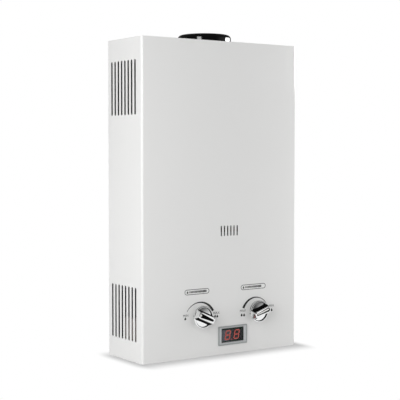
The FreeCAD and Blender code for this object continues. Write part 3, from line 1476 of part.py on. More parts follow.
def build_knob(label, axis, pointer):
    """Disc knob on a narrower hub, with a bar grip across its face."""
    knob = body(label)
    face = FRONT - KNOB_FACE
    profile = sketch(knob, label + "_profile", "top", 0)
    polygon(profile, [(0, FRONT - mm.knob_hub_gap), (mm.knob_hub_radius, FRONT - mm.knob_hub_gap),
                      (mm.knob_hub_radius, FRONT - mm.knob_stand), (mm.knob_radius, FRONT - mm.knob_stand),
                      (mm.knob_radius, face), (0, face)])
    revolve(knob, profile, "V_Axis")
    round_edges(knob, label + "_rim", mm.knob_edge,
                lambda edge: near(edge.BoundBox.XMax, mm.knob_radius) and edge.BoundBox.YLength < 1e-3)
    grip = sketch(knob, label + "_grip", "top", 0)
    sink = mm.knob_edge / 2
    polygon(grip, [(-mm.grip_foot / 2, face + sink), (mm.grip_foot / 2, face + sink),
                   (mm.grip_top / 2, face - mm.grip_rise), (-mm.grip_top / 2, face - mm.grip_rise)])
    pad(knob, grip, mm.grip_width, symmetric=True)
    bore = sketch(knob, label + "_bore", "front", mm.case_depth + mm.knob_hub_gap)
    half_turn = math.degrees(math.asin(float(mm.spindle_flat) / float(mm.spindle_radius)))
    round_side = arc(bore, Vector(0, 0, 0), float(mm.spindle_radius), 180 - half_turn, 360 + half_turn)
    reach = math.sqrt(float(mm.spindle_radius) ** 2 - float(mm.spindle_flat) ** 2)
    flat = bore.addGeometry(Part.LineSegment(Vector(reach, float(mm.spindle_flat), 0),
                                             Vector(-reach, float(mm.spindle_flat), 0)), False)
    bore.addConstraint(Sketcher.Constraint("Coincident", round_side, 2, flat, 1))
    bore.addConstraint(Sketcher.Constraint("Coincident", flat, 2, round_side, 1))
    bore.addConstraint(Sketcher.Constraint("Horizontal", flat))
    fix(bore, "DistanceX", round_side, 3, 0)
    fix(bore, "DistanceY", round_side, 3, 0)
    fix(bore, "DistanceY", flat, 1, mm.spindle_flat)
    fix_radius(bore, round_side, mm.spindle_radius)
    pocket(knob, bore, mm.knob_bore_depth - mm.knob_hub_gap, reverse=True)
    turned_place(knob, axis, pointer)
    return knob


def build_spindle(label, axis, pointer):
    start = FRONT - mm.knob_bore_depth
    end = BOSS_FRONT + mm.spindle_depth - mm.spindle_end_gap
    shaft = rod(label + "_shaft", (0, start, 0), "Y", mm.spindle_radius, end - start)
    side = mm.spindle_radius + PAST
    flat = box(label + "_flat", (-side, start, mm.spindle_flat), (side, FRONT - mm.knob_hub_gap, side))
    item = cut(label, shaft, flat)
    turned_place(item, axis, pointer)
    return item


def build_panel_bushes():
    bushes = []
    for axis, name in ((mm.gas_axis, "gas"), (mm.water_axis, "water")):
        flange = rod(name + "_bush_face", (axis, FRONT - mm.bush_face, mm.knob_level), "Y", mm.bush_radius,
                     mm.bush_face)
        neck = rod(name + "_bush_neck", (axis, FRONT - mm.bush_face, mm.knob_level), "Y", mm.bush_neck_radius,
                   mm.bush_face + mm.bush_neck_length)
        bore = rod(name + "_bush_bore", (axis, FRONT - mm.bush_face, mm.knob_level), "Y",
                   mm.spindle_radius + mm.bush_bore_gap, mm.bush_face + mm.bush_neck_length)
        bushes.append(cut(name + "_bush", fuse(name + "_bush_blank", flange, neck), bore))
    return group("panel_bushes", *bushes)


WINDOW_X = mm.display_centre + mm.window_shift
WINDOW_Z = mm.display_level + mm.window_lift


def around(x, z, width, height):
    """Low and high corner of an upright rectangle about its centre."""
    return (x - width / 2, z - height / 2), (x + width / 2, z + height / 2)


def build_display_bezel():
    bezel = body("display_bezel")
    outline = sketch(bezel, "bezel_outline", "front", mm.case_depth)
    rounded_rectangle(outline, *around(mm.display_centre, mm.display_level, mm.bezel_width, mm.bezel_height),
                      mm.bezel_corner)
    rectangle(outline, *around(WINDOW_X, WINDOW_Z, mm.window_width, mm.window_height))
    pad(bezel, outline, mm.bezel_face)
    front = FRONT - mm.bezel_face

    def outer_front(edge):
        middle = edge.CenterOfMass
        beside = abs(middle.x - float(WINDOW_X)) > float(mm.window_width) / 2 + 0.1
        above = abs(middle.z - float(WINDOW_Z)) > float(mm.window_height) / 2 + 0.1
        return near(edge.BoundBox.YMin, front) and near(edge.BoundBox.YMax, front) and (beside or above)

    round_edges(bezel, "bezel_edge", mm.bezel_corner / 2, outer_front)
    return bezel


def slab(label, corners, front, back):
    (left, low), (right, high) = corners
    return box(label, (left, front, low), (right, back, high))


def build_display_window():
    front = FRONT - mm.window_wall - mm.window_gap
    return slab("display_window", around(WINDOW_X, WINDOW_Z, mm.window_width, mm.window_height), front,
                front + mm.window_wall)


def build_display_housing():
    wall = mm.display_body_wall
    back = FRONT_INSIDE + mm.display_body_depth
    outer = slab("housing_outer", around(mm.display_centre, mm.display_level, mm.display_body_width,
                                         mm.display_body_height), FRONT, back)
    inner = slab("housing_inner", around(mm.display_centre, mm.display_level, mm.display_body_width - 2 * wall,
                                         mm.display_body_height - 2 * wall), FRONT, back - wall)
    return cut("display_housing", outer, inner)


def build_digit_module():
    front = FRONT + mm.panel_gap
    return slab("digit_module", around(WINDOW_X, mm.display_level, mm.digit_width, mm.digit_height), front,
                front + mm.digit_depth)


def build_display_board():
    front = FRONT + mm.panel_gap + mm.digit_depth
    wall = mm.display_body_wall
    corners = around(mm.display_centre, mm.display_level, mm.display_body_width - 2 * wall,
                     mm.display_body_height - 2 * wall)
    return slab("display_board", corners, front, front + mm.board_wall)


# ---------------------------------------------------------------- battery box

def build_battery_box():
    """Moulded box, open below, with a rim that rests on the floor plate and two hinge ears."""
    wall = mm.battery_wall
    outer = box("battery_outer", (BATTERY_LEFT, BATTERY_FRONT, mm.plate_level),
                (BATTERY_RIGHT, BATTERY_BACK, BATTERY_TOP))
    brim = mm.battery_rim
    rim = box("battery_rim", (BATTERY_LEFT - brim, BATTERY_FRONT - brim, BOTTOM_INSIDE),
              (BATTERY_RIGHT + brim, BATTERY_BACK + brim, BOTTOM_INSIDE + wall))
    inner = box("battery_inner", (BATTERY_LEFT + wall, BATTERY_FRONT + wall, mm.plate_level),
                (BATTERY_RIGHT - wall, BATTERY_BACK - wall, BATTERY_TOP - wall))
    shell = cut("battery_shell", fuse("battery_blank", outer, rim), inner)
    ears = []
    for side in (-1, 1):
        near_edge = BATTERY_MIDDLE + side * mm.hinge_start
        far_edge = BATTERY_MIDDLE + side * (mm.hinge_start + mm.ear_width)
        low, high = (far_edge, near_edge) if side < 0 else (near_edge, far_edge)
        ears.append(rod(f"battery_ear_{side}", (low, HINGE_Y, HINGE_Z), "X", mm.ear_radius, mm.ear_width))
        ears.append(box(f"battery_ear_web_{side}", (low, BATTERY_FRONT + wall / 2, HINGE_Z - mm.ear_radius),
                        (high, HINGE_Y, HINGE_Z + mm.ear_radius)))
    pin_hole = rod("battery_pin_hole", (BATTERY_MIDDLE - mm.hinge_start - mm.ear_width, HINGE_Y, HINGE_Z), "X",
                   mm.hinge_pin_radius, 2 * (mm.hinge_start + mm.ear_width))
    return cut("battery_box", fuse("battery_eared", shell, *ears), pin_hole)


def build_battery_lid():
    """Flat lid under the cells, with two knuckles on the hinge pin."""
    wall = mm.battery_wall
    plate = box("lid_plate",
                (BATTERY_LEFT + wall + mm.lid_gap, HINGE_Y + mm.ear_radius + mm.ear_gap, mm.plate_level),
                (BATTERY_RIGHT - wall - mm.lid_gap, BATTERY_BACK - wall - mm.lid_gap, LID_TOP))
    knuckles = []
    for side in (-1, 1):
        start = BATTERY_MIDDLE + side * (mm.hinge_start - mm.lid_gap) - (mm.hinge_length if side > 0 else 0)
        knuckles.append(rod(f"lid_knuckle_{side}", (start, HINGE_Y, HINGE_Z), "X", mm.hinge_radius,
                            mm.hinge_length))
    bore = rod("lid_bore", (BATTERY_MIDDLE - mm.hinge_start, HINGE_Y, HINGE_Z), "X",
               mm.hinge_pin_radius + mm.running_gap, 2 * mm.hinge_start)
    return cut("battery_lid", fuse("lid_blank", plate, *knuckles), bore)


def build_lid_hinge_pin():
    reach = mm.hinge_start + mm.ear_width
    return rod("lid_hinge_pin", (BATTERY_MIDDLE - reach, HINGE_Y, HINGE_Z), "X", mm.hinge_pin_radius, 2 * reach)


def build_batteries():
    cells = []
    for side, name in ((-1, "left"), (1, "right")):
        x = BATTERY_MIDDLE + side * (mm.cell_radius + mm.cell_gap / 2)
        start = BATTERY_FRONT + mm.battery_wall
        can = rod(name + "_cell_can", (x, start, CELL_LEVEL), "Y", mm.cell_radius,
                  mm.cell_length - mm.nub_height)
        nub = rod(name + "_cell_nub", (x, start, CELL_LEVEL), "Y", mm.nub_radius, mm.cell_length)
        cells.append(fuse(name + "_cell", can, nub))
    return group("batteries", *cells)


# ---------------------------------------------------------------- screws

def build_cover_screws():
    half = mm.cover_screw_span / 2
    screws = []
    for side in (-1, 1):
        screws.append(screw((side * half, COVER_SCREW_Y, mm.lip_rise), (0, 0, 1), mm.screw_length))
        screws.append(screw((side * half, COVER_SCREW_Y, mm.case_height - mm.lip_rise), (0, 0, -1),
                            mm.screw_length))
    return solid("cover_screws", Part.makeCompound(screws))


def build_flue_screws():
    screws = []
    for side in (-1, 1):
        for depth in (-1, 1):
            screws.append(screw((side * mm.flue_screw_span / 2, CORE_Y + depth * mm.flue_screw_depth / 2,
                                 FLANGE_TOP), (0, 0, -1), mm.screw_length))
    return solid("flue_screws", Part.makeCompound(screws))


def build_hood_screws():
    screws = [screw((side * (CORE_HALF + mm.sheet_wall), y, z), (-side, 0, 0), mm.screw_length / 2,
                    mm.small_screw_radius, mm.small_screw_head) for side, y, z in hood_screw_places()]
    return solid("hood_screws", Part.makeCompound(screws))


# ---------------------------------------------------------------- the whole heater

def build_heater():
    return [
        build_front_cover(), build_back_plate(), build_top_plate(), build_bottom_plate(), build_side_rails(),
        build_flue_collar(), build_flue_gasket(), build_exhaust_hood(),
        build_exchanger_shell(), build_fin_pack(), build_exchanger_tubes(), build_chamber_coil(),
        standoffs("burner_brackets", FRAME_BACK, mm.burner_base + mm.bracket_lift),
        standoffs("hood_brackets", CORE_BACK + mm.sheet_wall, EXCHANGER_TOP + mm.bracket_lift),
        build_burner_frame(), build_burner_bars(), build_gas_manifold(), build_injectors(), build_gas_riser(),
        build_probe("ignition_electrode", ELECTRODE_X), build_probe("flame_sensor", SENSOR_X),
        build_overheat_cutout(), build_ignition_controller(), build_wiring(),
        build_gas_valve_body(), build_gas_solenoid(), build_water_valve_body(), build_diaphragm(),
        build_diaphragm_cover(), build_diaphragm_screws(), build_push_rod(), build_micro_switch(),
        build_switch_lever(),
        *[union(label, x, y) for label, (x, y) in UNION_PLACES.items()],
        build_sealing_washers(), build_inlet_strainer(), build_hot_outlet_block(), build_hot_pipe(),
        build_cold_pipe(), build_drain_plug(),
        build_knob("temperature_knob", mm.gas_axis, mm.temperature_pointer),
        build_knob("water_flow_knob", mm.water_axis, mm.flow_pointer),
        build_spindle("temperature_spindle", mm.gas_axis, mm.temperature_pointer),
        build_spindle("water_flow_spindle", mm.water_axis, mm.flow_pointer),
        build_panel_bushes(), build_display_bezel(), build_display_window(), build_display_housing(),
        build_digit_module(), build_display_board(),
        build_battery_box(), build_battery_lid(), build_lid_hinge_pin(), build_batteries(),
        build_cover_screws(), build_flue_screws(), build_hood_screws(),
    ]


def check_and_export(nodes):
    document.recompute()
    for item in document.Objects:
        if "Invalid" in item.State or "Error" in item.State:
            raise ValueError(f"{item.Label} failed: {item.State}")
    os.makedirs("parts", exist_ok=True)
    for node in nodes:
        shape = node.Shape
        if shape.isNull() or not shape.isValid() or not shape.Solids:
            raise ValueError(f"{node.Label} has no valid shape")
        shape.exportStep(os.path.join("parts", node.Label + ".step"))
        print(f"{node.Label}: {len(shape.Solids)} solids, {shape.Volume:.0f} mm3")


check_and_export(build_heater())
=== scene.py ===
import math
import bmesh
import bpy
from bpy.props import FloatProperty, FloatVectorProperty, IntProperty, PointerProperty
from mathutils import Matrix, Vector


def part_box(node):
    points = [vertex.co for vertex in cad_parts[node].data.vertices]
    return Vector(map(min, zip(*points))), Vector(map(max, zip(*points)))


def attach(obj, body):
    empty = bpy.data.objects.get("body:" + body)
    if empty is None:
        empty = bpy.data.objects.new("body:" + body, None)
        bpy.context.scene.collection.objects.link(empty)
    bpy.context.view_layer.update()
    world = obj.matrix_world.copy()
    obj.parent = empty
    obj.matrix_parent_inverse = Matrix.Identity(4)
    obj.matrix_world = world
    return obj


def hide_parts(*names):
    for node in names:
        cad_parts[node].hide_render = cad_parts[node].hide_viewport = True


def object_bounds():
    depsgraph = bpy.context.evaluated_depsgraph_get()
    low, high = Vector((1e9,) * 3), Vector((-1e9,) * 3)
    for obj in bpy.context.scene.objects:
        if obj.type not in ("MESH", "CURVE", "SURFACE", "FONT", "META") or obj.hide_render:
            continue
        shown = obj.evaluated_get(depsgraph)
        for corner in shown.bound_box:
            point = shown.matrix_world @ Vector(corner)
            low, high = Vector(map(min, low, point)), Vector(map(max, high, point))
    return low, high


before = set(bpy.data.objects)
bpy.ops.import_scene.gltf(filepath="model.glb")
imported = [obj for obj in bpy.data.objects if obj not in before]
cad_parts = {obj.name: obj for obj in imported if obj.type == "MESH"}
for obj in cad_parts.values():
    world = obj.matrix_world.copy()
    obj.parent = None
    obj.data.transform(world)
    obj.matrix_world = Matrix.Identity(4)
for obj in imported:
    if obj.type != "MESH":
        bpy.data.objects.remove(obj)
CAD_BOX = [list(corner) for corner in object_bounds()]

bl_info = {
    "name": "Wall-hung gas water heater",
    "version": (1, 0, 0),
    "blender": (4, 5, 0),
    "location": "View3D > Sidebar > Heater",
    "description": "Finishes, knobs, display, flue collar and fittings of a wall-hung gas water heater",
    "category": "Object",
}

# Shapes are worked out in millimetres, in the part's own frame: X across the front, the front
# towards -Y, Z up from the bottom edge. Meshes are in metres.
MM = 0.001


def node_box(node):
    """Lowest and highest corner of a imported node, in mm."""
    low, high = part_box(node)
    return low / MM, high / MM


def middle(node):
    low, high = node_box(node)
    return (low + high) / 2


PANEL = node_box("front_cover")[0].y      # face of the front sheet
FOOT_DEPTH = -PANEL * MM                  # depth of the casing on the floor, in metres
INK = 0.05                                # thickness of a printed mark
SKIN = 0.4                                # half the cover's sheet: deeper than this is its inside
BEND = 4.0                                # outer radius of the cover's upright bends
HEM = 8.0                                 # height of the folded lips, which are coated all over
# the painted shade inside the casing starts at the first height and is full at the second
SHADE_FROM, SHADE_FULL = 130.0, 330.0       # heights of the controls and of the heat exchanger


def linear(code):
    """Linear red, green and blue of an sRGB hex colour."""
    shares = [int(code[i:i + 2], 16) / 255 for i in (1, 3, 5)]
    return tuple(s / 12.92 if s <= 0.04045 else ((s + 0.055) / 1.055) ** 2.4 for s in shares)


def rgba(shade):
    """A hex colour, or the colour setting of this name, with full alpha."""
    rgb = linear(shade) if shade[0] == "#" else getattr(bpy.context.scene.heater_finish, shade)
    return (*rgb, 1.0)


# ---- settings

def colour(name, description, code):
    return FloatVectorProperty(name=name, description=description, subtype="COLOR", size=3,
                               min=0, max=1, default=linear(code))


def length(name, description, size):
    return FloatProperty(name=name, description=description, subtype="DISTANCE", unit="LENGTH",
                         default=size * MM)


def angle(name, description, degrees):
    return FloatProperty(name=name, description=description, subtype="ANGLE", unit="ROTATION",
                         default=math.radians(degrees))


class HeaterFinish(bpy.types.PropertyGroup):
    casing: colour("Casing", "Powder coat of the front cover", "#E6E6E5")
    flue: colour("Flue", "Enamel of the flue collar", "#020202")
    bezel: colour("Bezel", "Silver lacquer round the display", "#B4B7B8")
    ink: colour("Ink", "Printed scales on the front", "#080808")
    battery_box: colour("Battery box", "Moulded battery housing", "#9C918D")


class HeaterSizes(bpy.types.PropertyGroup):
    scale_thin: length("Thin end", "Width of the arc at its low end", 0.9)
    scale_thick: length("Thick end", "Width of the arc at its high end", 5.0)
    pill_height: length("Caption height", "Height of the outlined caption over a knob", 9.4)
    temperature_pointer: angle("Temperature pointer", "Direction of the temperature knob at rest", 156)
    flow_pointer: angle("Flow pointer", "Direction of the water flow knob at rest", 18)
    thread_pitch: length("Thread pitch", "Pitch of the G 1/2 pipe thread", 1.814)
    lid_ribs: IntProperty(name="Lid ribs", description="Grip ribs on the battery lid", default=7, min=1)


class HeaterStage(bpy.types.PropertyGroup):
    camera_place: FloatVectorProperty(name="Camera", description="Place of the camera", size=3,
                                      subtype="XYZ", unit="LENGTH", default=(-1.0890, -1.6340, 0.3583))
    camera_yaw: angle("Yaw", "Turn of the view from straight at the front", 34.38)
    camera_pitch: angle("Pitch", "Tilt of the view, down below zero", -2.62)
    camera_lens: FloatProperty(name="Lens", description="Focal length on a 36 mm sensor", default=96.07)


# ---- shapes

CREASE = math.radians(35)      # an edge that bends more than this is sharp
SIDE = 8                       # steps round one corner of an outline


def filleted(corners, steps=5):
    """The open outline through (across, along, radius) corners, with an arc where a radius is given."""
    outline = []
    for index, (x, y, radius) in enumerate(corners):
        here = Vector((x, y))
        if radius == 0:
            outline.append((x, y))
            continue
        before = (Vector(corners[index - 1][:2]) - here).normalized()
        after = (Vector(corners[index + 1][:2]) - here).normalized()
        half = before.angle(after) / 2
        centre = here + (before + after).normalized() * (radius / math.sin(half))
        start = here + before * (radius / math.tan(half)) - centre
        turn = math.pi - 2 * half
        if before.x * after.y - before.y * after.x > 0:
            turn = -turn
        for step in range(steps + 1):
            part = turn * step / steps
            outline.append((centre.x + start.x * math.cos(part) - start.y * math.sin(part),
                            centre.y + start.x * math.sin(part) + start.y * math.cos(part)))
    return outline


def four_corners(right, left, right_half, left_half, right_radius, left_radius, steps=SIDE):
    """A long outline, a bar or a tapering slot, always with the same count of points."""
    corners = [(right - right_radius, right_half - right_radius, right_radius, 0),
               (left + left_radius, left_half - left_radius, left_radius, 90),
               (left + left_radius, left_radius - left_half, left_radius, 180),
               (right - right_radius, right_radius - right_half, right_radius, 270)]
    outline = []
    for x, y, radius, start in corners:
        for step in range(steps + 1):
            turn = math.radians(start + 90 * step / steps)
            outline.append((x + radius * math.cos(turn), y + radius * math.sin(turn)))
    return outline


def rounded(half_along, half_across, radius, steps=SIDE):
    """A rectangle with round corners, about its own middle."""
    return four_corners(half_along, -half_along, half_across, half_across, radius, radius, steps)


def stadium(width, height, wall=0.0):
    """An outline with two round ends, lying or upright, walls in from its edge."""
    return rounded(width / 2 - wall, height / 2 - wall, min(width, height) / 2 - wall)


def round_outline(radius, count):
    return [(radius * math.cos(2 * math.pi * i / count), radius * math.sin(2 * math.pi * i / count))
            for i in range(count)]


def on_panel(x, z, turn=0.0):
    """Places (along, across, out) round an axis that stands out of the front sheet, in mm."""
    c, s = math.cos(turn), math.sin(turn)
    return lambda along, across, out: (x + along * c - across * s, PANEL - out, z + along * s + across * c)


def upright(x=0.0, y=0.0):
    """Places (across, deep, high) round an upright axis, in mm."""
    return lambda across, deep, high: (x + across, y + deep, high)


def lifted(outline, place, level):
    """A flat outline, carried to its place at one level."""
    return [place(x, y, level) for x, y in outline]


def hoop(place, count, radius, level):
    return lifted(round_outline(radius, count), place, level)


def reached(place, count, reach, level):
    """A ring that lies reach(x, y) from the axis in each direction (x, y)."""
    return [place(x * reach(x, y), y * reach(x, y), level) for x, y in round_outline(1, count)]


class Shell:
    """Points, faces and their finishes, grown ring by ring; a closed skin when it is done."""

    def __init__(self):
        self.points = []
        self.faces = []
        self.marks = []

    def ring(self, points):
        start = len(self.points)
        self.points.extend(points)
        return range(start, len(self.points))

    def join(self, low, high, mark):
        """Faces between two rings of one length; mark is a number, or gives one for each face."""
        count = len(low)
        for i in range(count):
            j = (i + 1) % count
            self.faces.append((low[i], low[j], high[j], high[i]))
            self.marks.append(mark(i) if callable(mark) else mark)

    def cap(self, ring, mark):
        self.faces.append(tuple(ring))
        self.marks.append(0 if callable(mark) else mark)

    def stack(self, rings, marks=0, closed=False):
        """Joins each ring to the next, and caps both ends or joins the last to the first."""
        made = [self.ring(points) for points in rings]
        marks = marks if isinstance(marks, list) else [marks] * len(made)
        for low, high, mark in zip(made, made[1:], marks):
            self.join(low, high, mark)
        if closed:
            self.join(made[-1], made[0], marks[-1])
        else:
            self.cap(made[0], marks[0])
            self.cap(made[-1], marks[-1])

    def turned(self, profile, place, count, marks=0):
        """A solid of revolution from (radius, height) points."""
        self.stack([hoop(place, count, radius, height) for radius, height in profile], marks)


def placed(name, data):
    """A new object in the scene."""
    item = bpy.data.objects.new(name, data)
    bpy.context.scene.collection.objects.link(item)
    return item


def shell_mesh(name, shell, finishes=()):
    """A shell as a mesh in metres, its faces outwards and its sharp bends marked."""
    mesh = bpy.data.meshes.new(name)
    mesh.from_pydata([Vector(point) * MM for point in shell.points], [], shell.faces)
    mesh.polygons.foreach_set("material_index", shell.marks)
    work = bmesh.new()
    work.from_mesh(mesh)
    bmesh.ops.remove_doubles(work, verts=work.verts, dist=1e-7)
    bmesh.ops.dissolve_degenerate(work, edges=work.edges, dist=1e-8)
    bmesh.ops.recalc_face_normals(work, faces=work.faces)
    work.to_mesh(mesh)
    work.free()
    for finish in finishes:
        mesh.materials.append(finish_of(finish))
    mesh.shade_smooth()
    mesh.set_sharp_from_angle(angle=CREASE)
    return mesh


def seated(name, mesh, body, replaces):
    """A mesh as a piece that rides on a body of the frame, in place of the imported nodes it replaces."""
    item = placed(name, mesh)
    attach(item, body)
    if replaces:
        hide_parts(*replaces)
    return item


def piece(name, shell, finishes, body, replaces=()):
    return seated(name, shell_mesh(name, shell, finishes), body, replaces)


def joined(name, meshes, body, replaces=()):
    """One piece out of several meshes that share their first finish."""
    work = bmesh.new()
    for mesh in meshes:
        work.from_mesh(mesh)
    mesh = bpy.data.meshes.new(name)
    work.to_mesh(mesh)
    work.free()
    for finish in meshes[0].materials:
        mesh.materials.append(finish)
    return seated(name, mesh, body, replaces)


# ---- nodes

WHITE = (1, 1, 1, 1)


def add(tree, kind, inputs, **settings):
    """Adds a node and gives its outputs; inputs sets sockets, by name or number, to a value or an output."""
    made = tree.nodes.new(kind)
    for name, value in settings.items():
        setattr(made, name, value)
    for name, value in inputs.items():
        socket = made.inputs[name]
        if isinstance(value, bpy.types.NodeSocket):
            tree.links.new(value, socket)
        else:
            socket.default_value = value
    return made.outputs


def calc(tree, operation, *values):
    """The result of a Math node."""
    return add(tree, "ShaderNodeMath", dict(enumerate(values)), operation=operation)[0]


def vector_calc(tree, operation, *values):
    """The result of a Vector Math node: a number for LENGTH, a vector for the others."""
    made = add(tree, "ShaderNodeVectorMath", dict(enumerate(values)), operation=operation)
    return made["Value" if operation == "LENGTH" else "Vector"]


def spread(tree, value, start, end, low=0.0, high=1.0, kind="LINEAR"):
    """Maps start..end to low..high, and holds both ends."""
    return add(tree, "ShaderNodeMapRange", {"Value": value, "From Min": start, "From Max": end,
                                            "To Min": low, "To Max": high}, interpolation_type=kind)[0]


def emptied(owner):
    """The node tree of a material or a world, with nothing in it."""
    owner.use_nodes = True
    owner.node_tree.nodes.clear()
    return owner.node_tree


class Finish:
    """One material: its shader, and the piece's own coordinates in mm for its patterns."""

    def __init__(self, name, shade, roughness, sockets):
        self.material = bpy.data.materials.new(name)
        self.tree = emptied(self.material)
        values = {key.replace("_", " "): value for key, value in sockets.items()}
        values.update({"Base Color": rgba(shade), "Roughness": roughness})
        shader = add(self.tree, "ShaderNodeBsdfPrincipled", values)["BSDF"]
        self.inputs = shader.node.inputs
        add(self.tree, "ShaderNodeOutputMaterial", {"Surface": shader})
        place = add(self.tree, "ShaderNodeTexCoord", {})["Object"]
        self.mm = self.stretched(place, (1 / MM,) * 3)

    def stretched(self, where, scale):
        return add(self.tree, "ShaderNodeMapping", {"Vector": where, "Scale": scale})["Vector"]

    def along(self, axis):
        """The place along one axis, in mm."""
        return add(self.tree, "ShaderNodeSeparateXYZ", {"Vector": self.mm})[axis]

    def calc(self, *values):
        return calc(self.tree, *values)

    def grain(self, size, detail=2.0, stretch=None):
        """Soft noise whose blotches are about size mm wide, longer on the axes with a stretch below 1."""
        where = self.stretched(self.mm, stretch) if stretch else self.mm
        inputs = {"Vector": where, "Scale": 1 / size, "Detail": detail, "Roughness": 0.55}
        return add(self.tree, "ShaderNodeTexNoise", inputs)["Fac"]

    def cells(self, size, where=None):
        """Random colours, one for each cell of about size mm."""
        made = add(self.tree, "ShaderNodeTexVoronoi", {"Vector": where or self.mm, "Scale": 1 / size})
        return add(self.tree, "ShaderNodeSeparateColor", {"Color": made["Color"]})

    def between(self, value, low, high, start=0.3, end=0.7):
        return spread(self.tree, value, start, end, low, high)

    def inner_shade_share(self):
        """0 at the controls, 1 beside the heat exchanger: how much painted shade darkens the inside of the
        casing.
        """
        return spread(self.tree, self.along("Z"), SHADE_FROM, SHADE_FULL, kind="SMOOTHSTEP")

    def blend(self, share, *shades):
        """A mix of two shades: outputs, hex colours or the names of settings."""
        first, second = (rgba(shade) if isinstance(shade, str) else shade for shade in shades)
        return add(self.tree, "ShaderNodeMix", {0: share, 6: first, 7: second}, data_type="RGBA")[2]

    def clouds(self, size, dark, light):
        return self.blend(self.between(self.grain(size), 0, 1), dark, light)

    def relief(self, height, depth, below=None):
        """Bumps of a depth in mm, on top of an earlier relief."""
        inputs = {"Height": height, "Distance": depth * MM}
        if below:
            inputs["Normal"] = below
        return add(self.tree, "ShaderNodeBump", inputs)["Normal"]

    def use(self, **links):
        for name, output in links.items():
            self.tree.links.new(output, self.inputs[name.replace("_", " ")])


FINISHES = {}


def finish(shade, roughness, clouds=None, sheen=None, bumps=None, **sockets):
    """Keeps a finish under its maker's name; the maker adds what the base and the soft noise lack.

    The noise is clouds (size, dark, light) in the colour, sheen (size, low, high) in the roughness
    and bumps (size, depth, detail, stretch), with sizes and depths in mm.
    """
    def keep(maker):
        def made():
            skin = Finish(maker.__name__, shade, roughness, sockets)
            if clouds:
                skin.use(Base_Color=skin.clouds(*clouds))
            if sheen:
                size, low, high = sheen
                skin.use(Roughness=skin.between(skin.grain(size), low, high))
            if bumps:
                size, depth, *rest = bumps
                skin.use(Normal=skin.relief(skin.grain(size, *rest), depth))
            maker(skin)
            return skin.material
        FINISHES[maker.__name__] = made
        return maker
    return keep


def finish_of(name):
    """The material of this name, made the first time that it is asked for."""
    return bpy.data.materials.get(name) or FINISHES[name]()


# ---- finishes

@finish("casing", 0.36, sheen=(45, 0.33, 0.41))
def powder_coated_sheet(coat):
    """Satin white polyester powder with a faint orange peel; inside the casing its colour is painted shade,
    mid grey low down and near black at the heat exchanger's height.
    """
    high = node_box("front_cover")[1]

    def past(value, limit, sign):
        """How far a coordinate lies beyond the bend's own axis, or zero."""
        return coat.calc("MAXIMUM", coat.calc("MULTIPLY_ADD", value, sign, -sign * limit), 0.0)

    off = add(coat.tree, "ShaderNodeCombineXYZ", {
        "X": past(coat.calc("ABSOLUTE", coat.along("X")), high.x - BEND, 1.0),
        "Y": past(coat.along("Y"), PANEL + BEND, -1.0)})[0]
    inside = coat.calc("LESS_THAN", vector_calc(coat.tree, "LENGTH", off), BEND - SKIN)
    for test, limit in (("GREATER_THAN", HEM), ("LESS_THAN", high.z - HEM)):
        inside = coat.calc("MULTIPLY", inside, coat.calc(test, coat.along("Z"), limit))
    # painted shade inside the casing: mid grey at the controls, near black at the heat exchanger
    painted_inner_shade = coat.blend(coat.inner_shade_share(), "#6A6A68", "#222323")
    peel = coat.relief(coat.grain(1.8), 0.012)
    broad = coat.relief(coat.grain(70, 1), 0.05, peel)
    coat.use(Base_Color=coat.blend(inside, "casing", painted_inner_shade), Normal=broad)


@finish("#B4B8BB", 0.42, bumps=(0.8, 0.004, 2, (1, 1, 0.08)), Metallic=0.85)
def galvanised_sheet(zinc):
    """Hot-dip zinc: spangles of a few mm that each catch the light differently; its inner face under the top
    plate carries painted shade that darkens it towards the heat exchanger.
    """
    wander = add(zinc.tree, "ShaderNodeTexNoise", {"Vector": zinc.mm, "Scale": 1 / 6})["Color"]
    wavy = add(zinc.tree, "ShaderNodeMix", {0: 0.12, 4: zinc.mm, 5: wander}, data_type="VECTOR")[1]
    crystal = zinc.cells(7, wavy)
    bright = zinc.blend(crystal["Red"], "#9DA2A6", "#C4C8CA")
    inner = zinc.calc("LESS_THAN", zinc.along("Y"), -SKIN / 2)
    under = zinc.calc("LESS_THAN", zinc.along("Z"), node_box("top_plate")[0].z)
    # painted shade on the inner face, darker towards the heat exchanger
    shaded_inner_face = zinc.calc("MULTIPLY", zinc.calc("MULTIPLY", inner, under), zinc.inner_shade_share())
    zinc.use(Base_Color=zinc.blend(shaded_inner_face, bright, "#3E4143"),
             Roughness=zinc.between(crystal["Green"], 0.34, 0.52, 0, 1))


@finish("flue", 0.08, sheen=(12, 0.05, 0.12), bumps=(4, 0.01, 1))
def gloss_black_enamel(enamel):
    """Fired black enamel: a deep wet black with a slight waviness in its highlights."""


@finish("#EEEFEF", 0.06, sheen=(9, 0.04, 0.10), bumps=(0.5, 0.0006, 2, (0.1, 1, 1)), Metallic=1.0)
def chrome_plate(chrome):
    """Bright chrome on moulded ABS: a mirror with hairline polishing marks."""


@finish("#050505", 0.8, sheen=(3, 0.7, 0.9), Specular_IOR_Level=0.08)
def black_reflection_paint(lacquer):
    """Matt black paint in the knobs' flanks, scoop and face line: painted dark reflections that give a dark
    line beside the chrome from any side.
    """


@finish("#F1F1EE", 0.3, bumps=(0.5, 0.01))
def white_index_and_highlight(enamel):
    """White enamel in a knob's index dot or stripe: a painted highlight, bright at any angle; the dot is also
    the temperature knob's index.
    """


def flaked(silver, dark, light):
    spark = silver.cells(0.3)
    silver.use(Base_Color=silver.blend(spark["Red"], dark, light),
               Roughness=silver.between(spark["Green"], 0.36, 0.5, 0, 1))


@finish("bezel", 0.42, Metallic=0.35)
def silver_lacquer(silver):
    """Silver lacquer on ABS: fine aluminium flake gives a soft grey sheen, not a mirror."""
    flaked(silver, "#B3B7B8", "#C8CBCC")


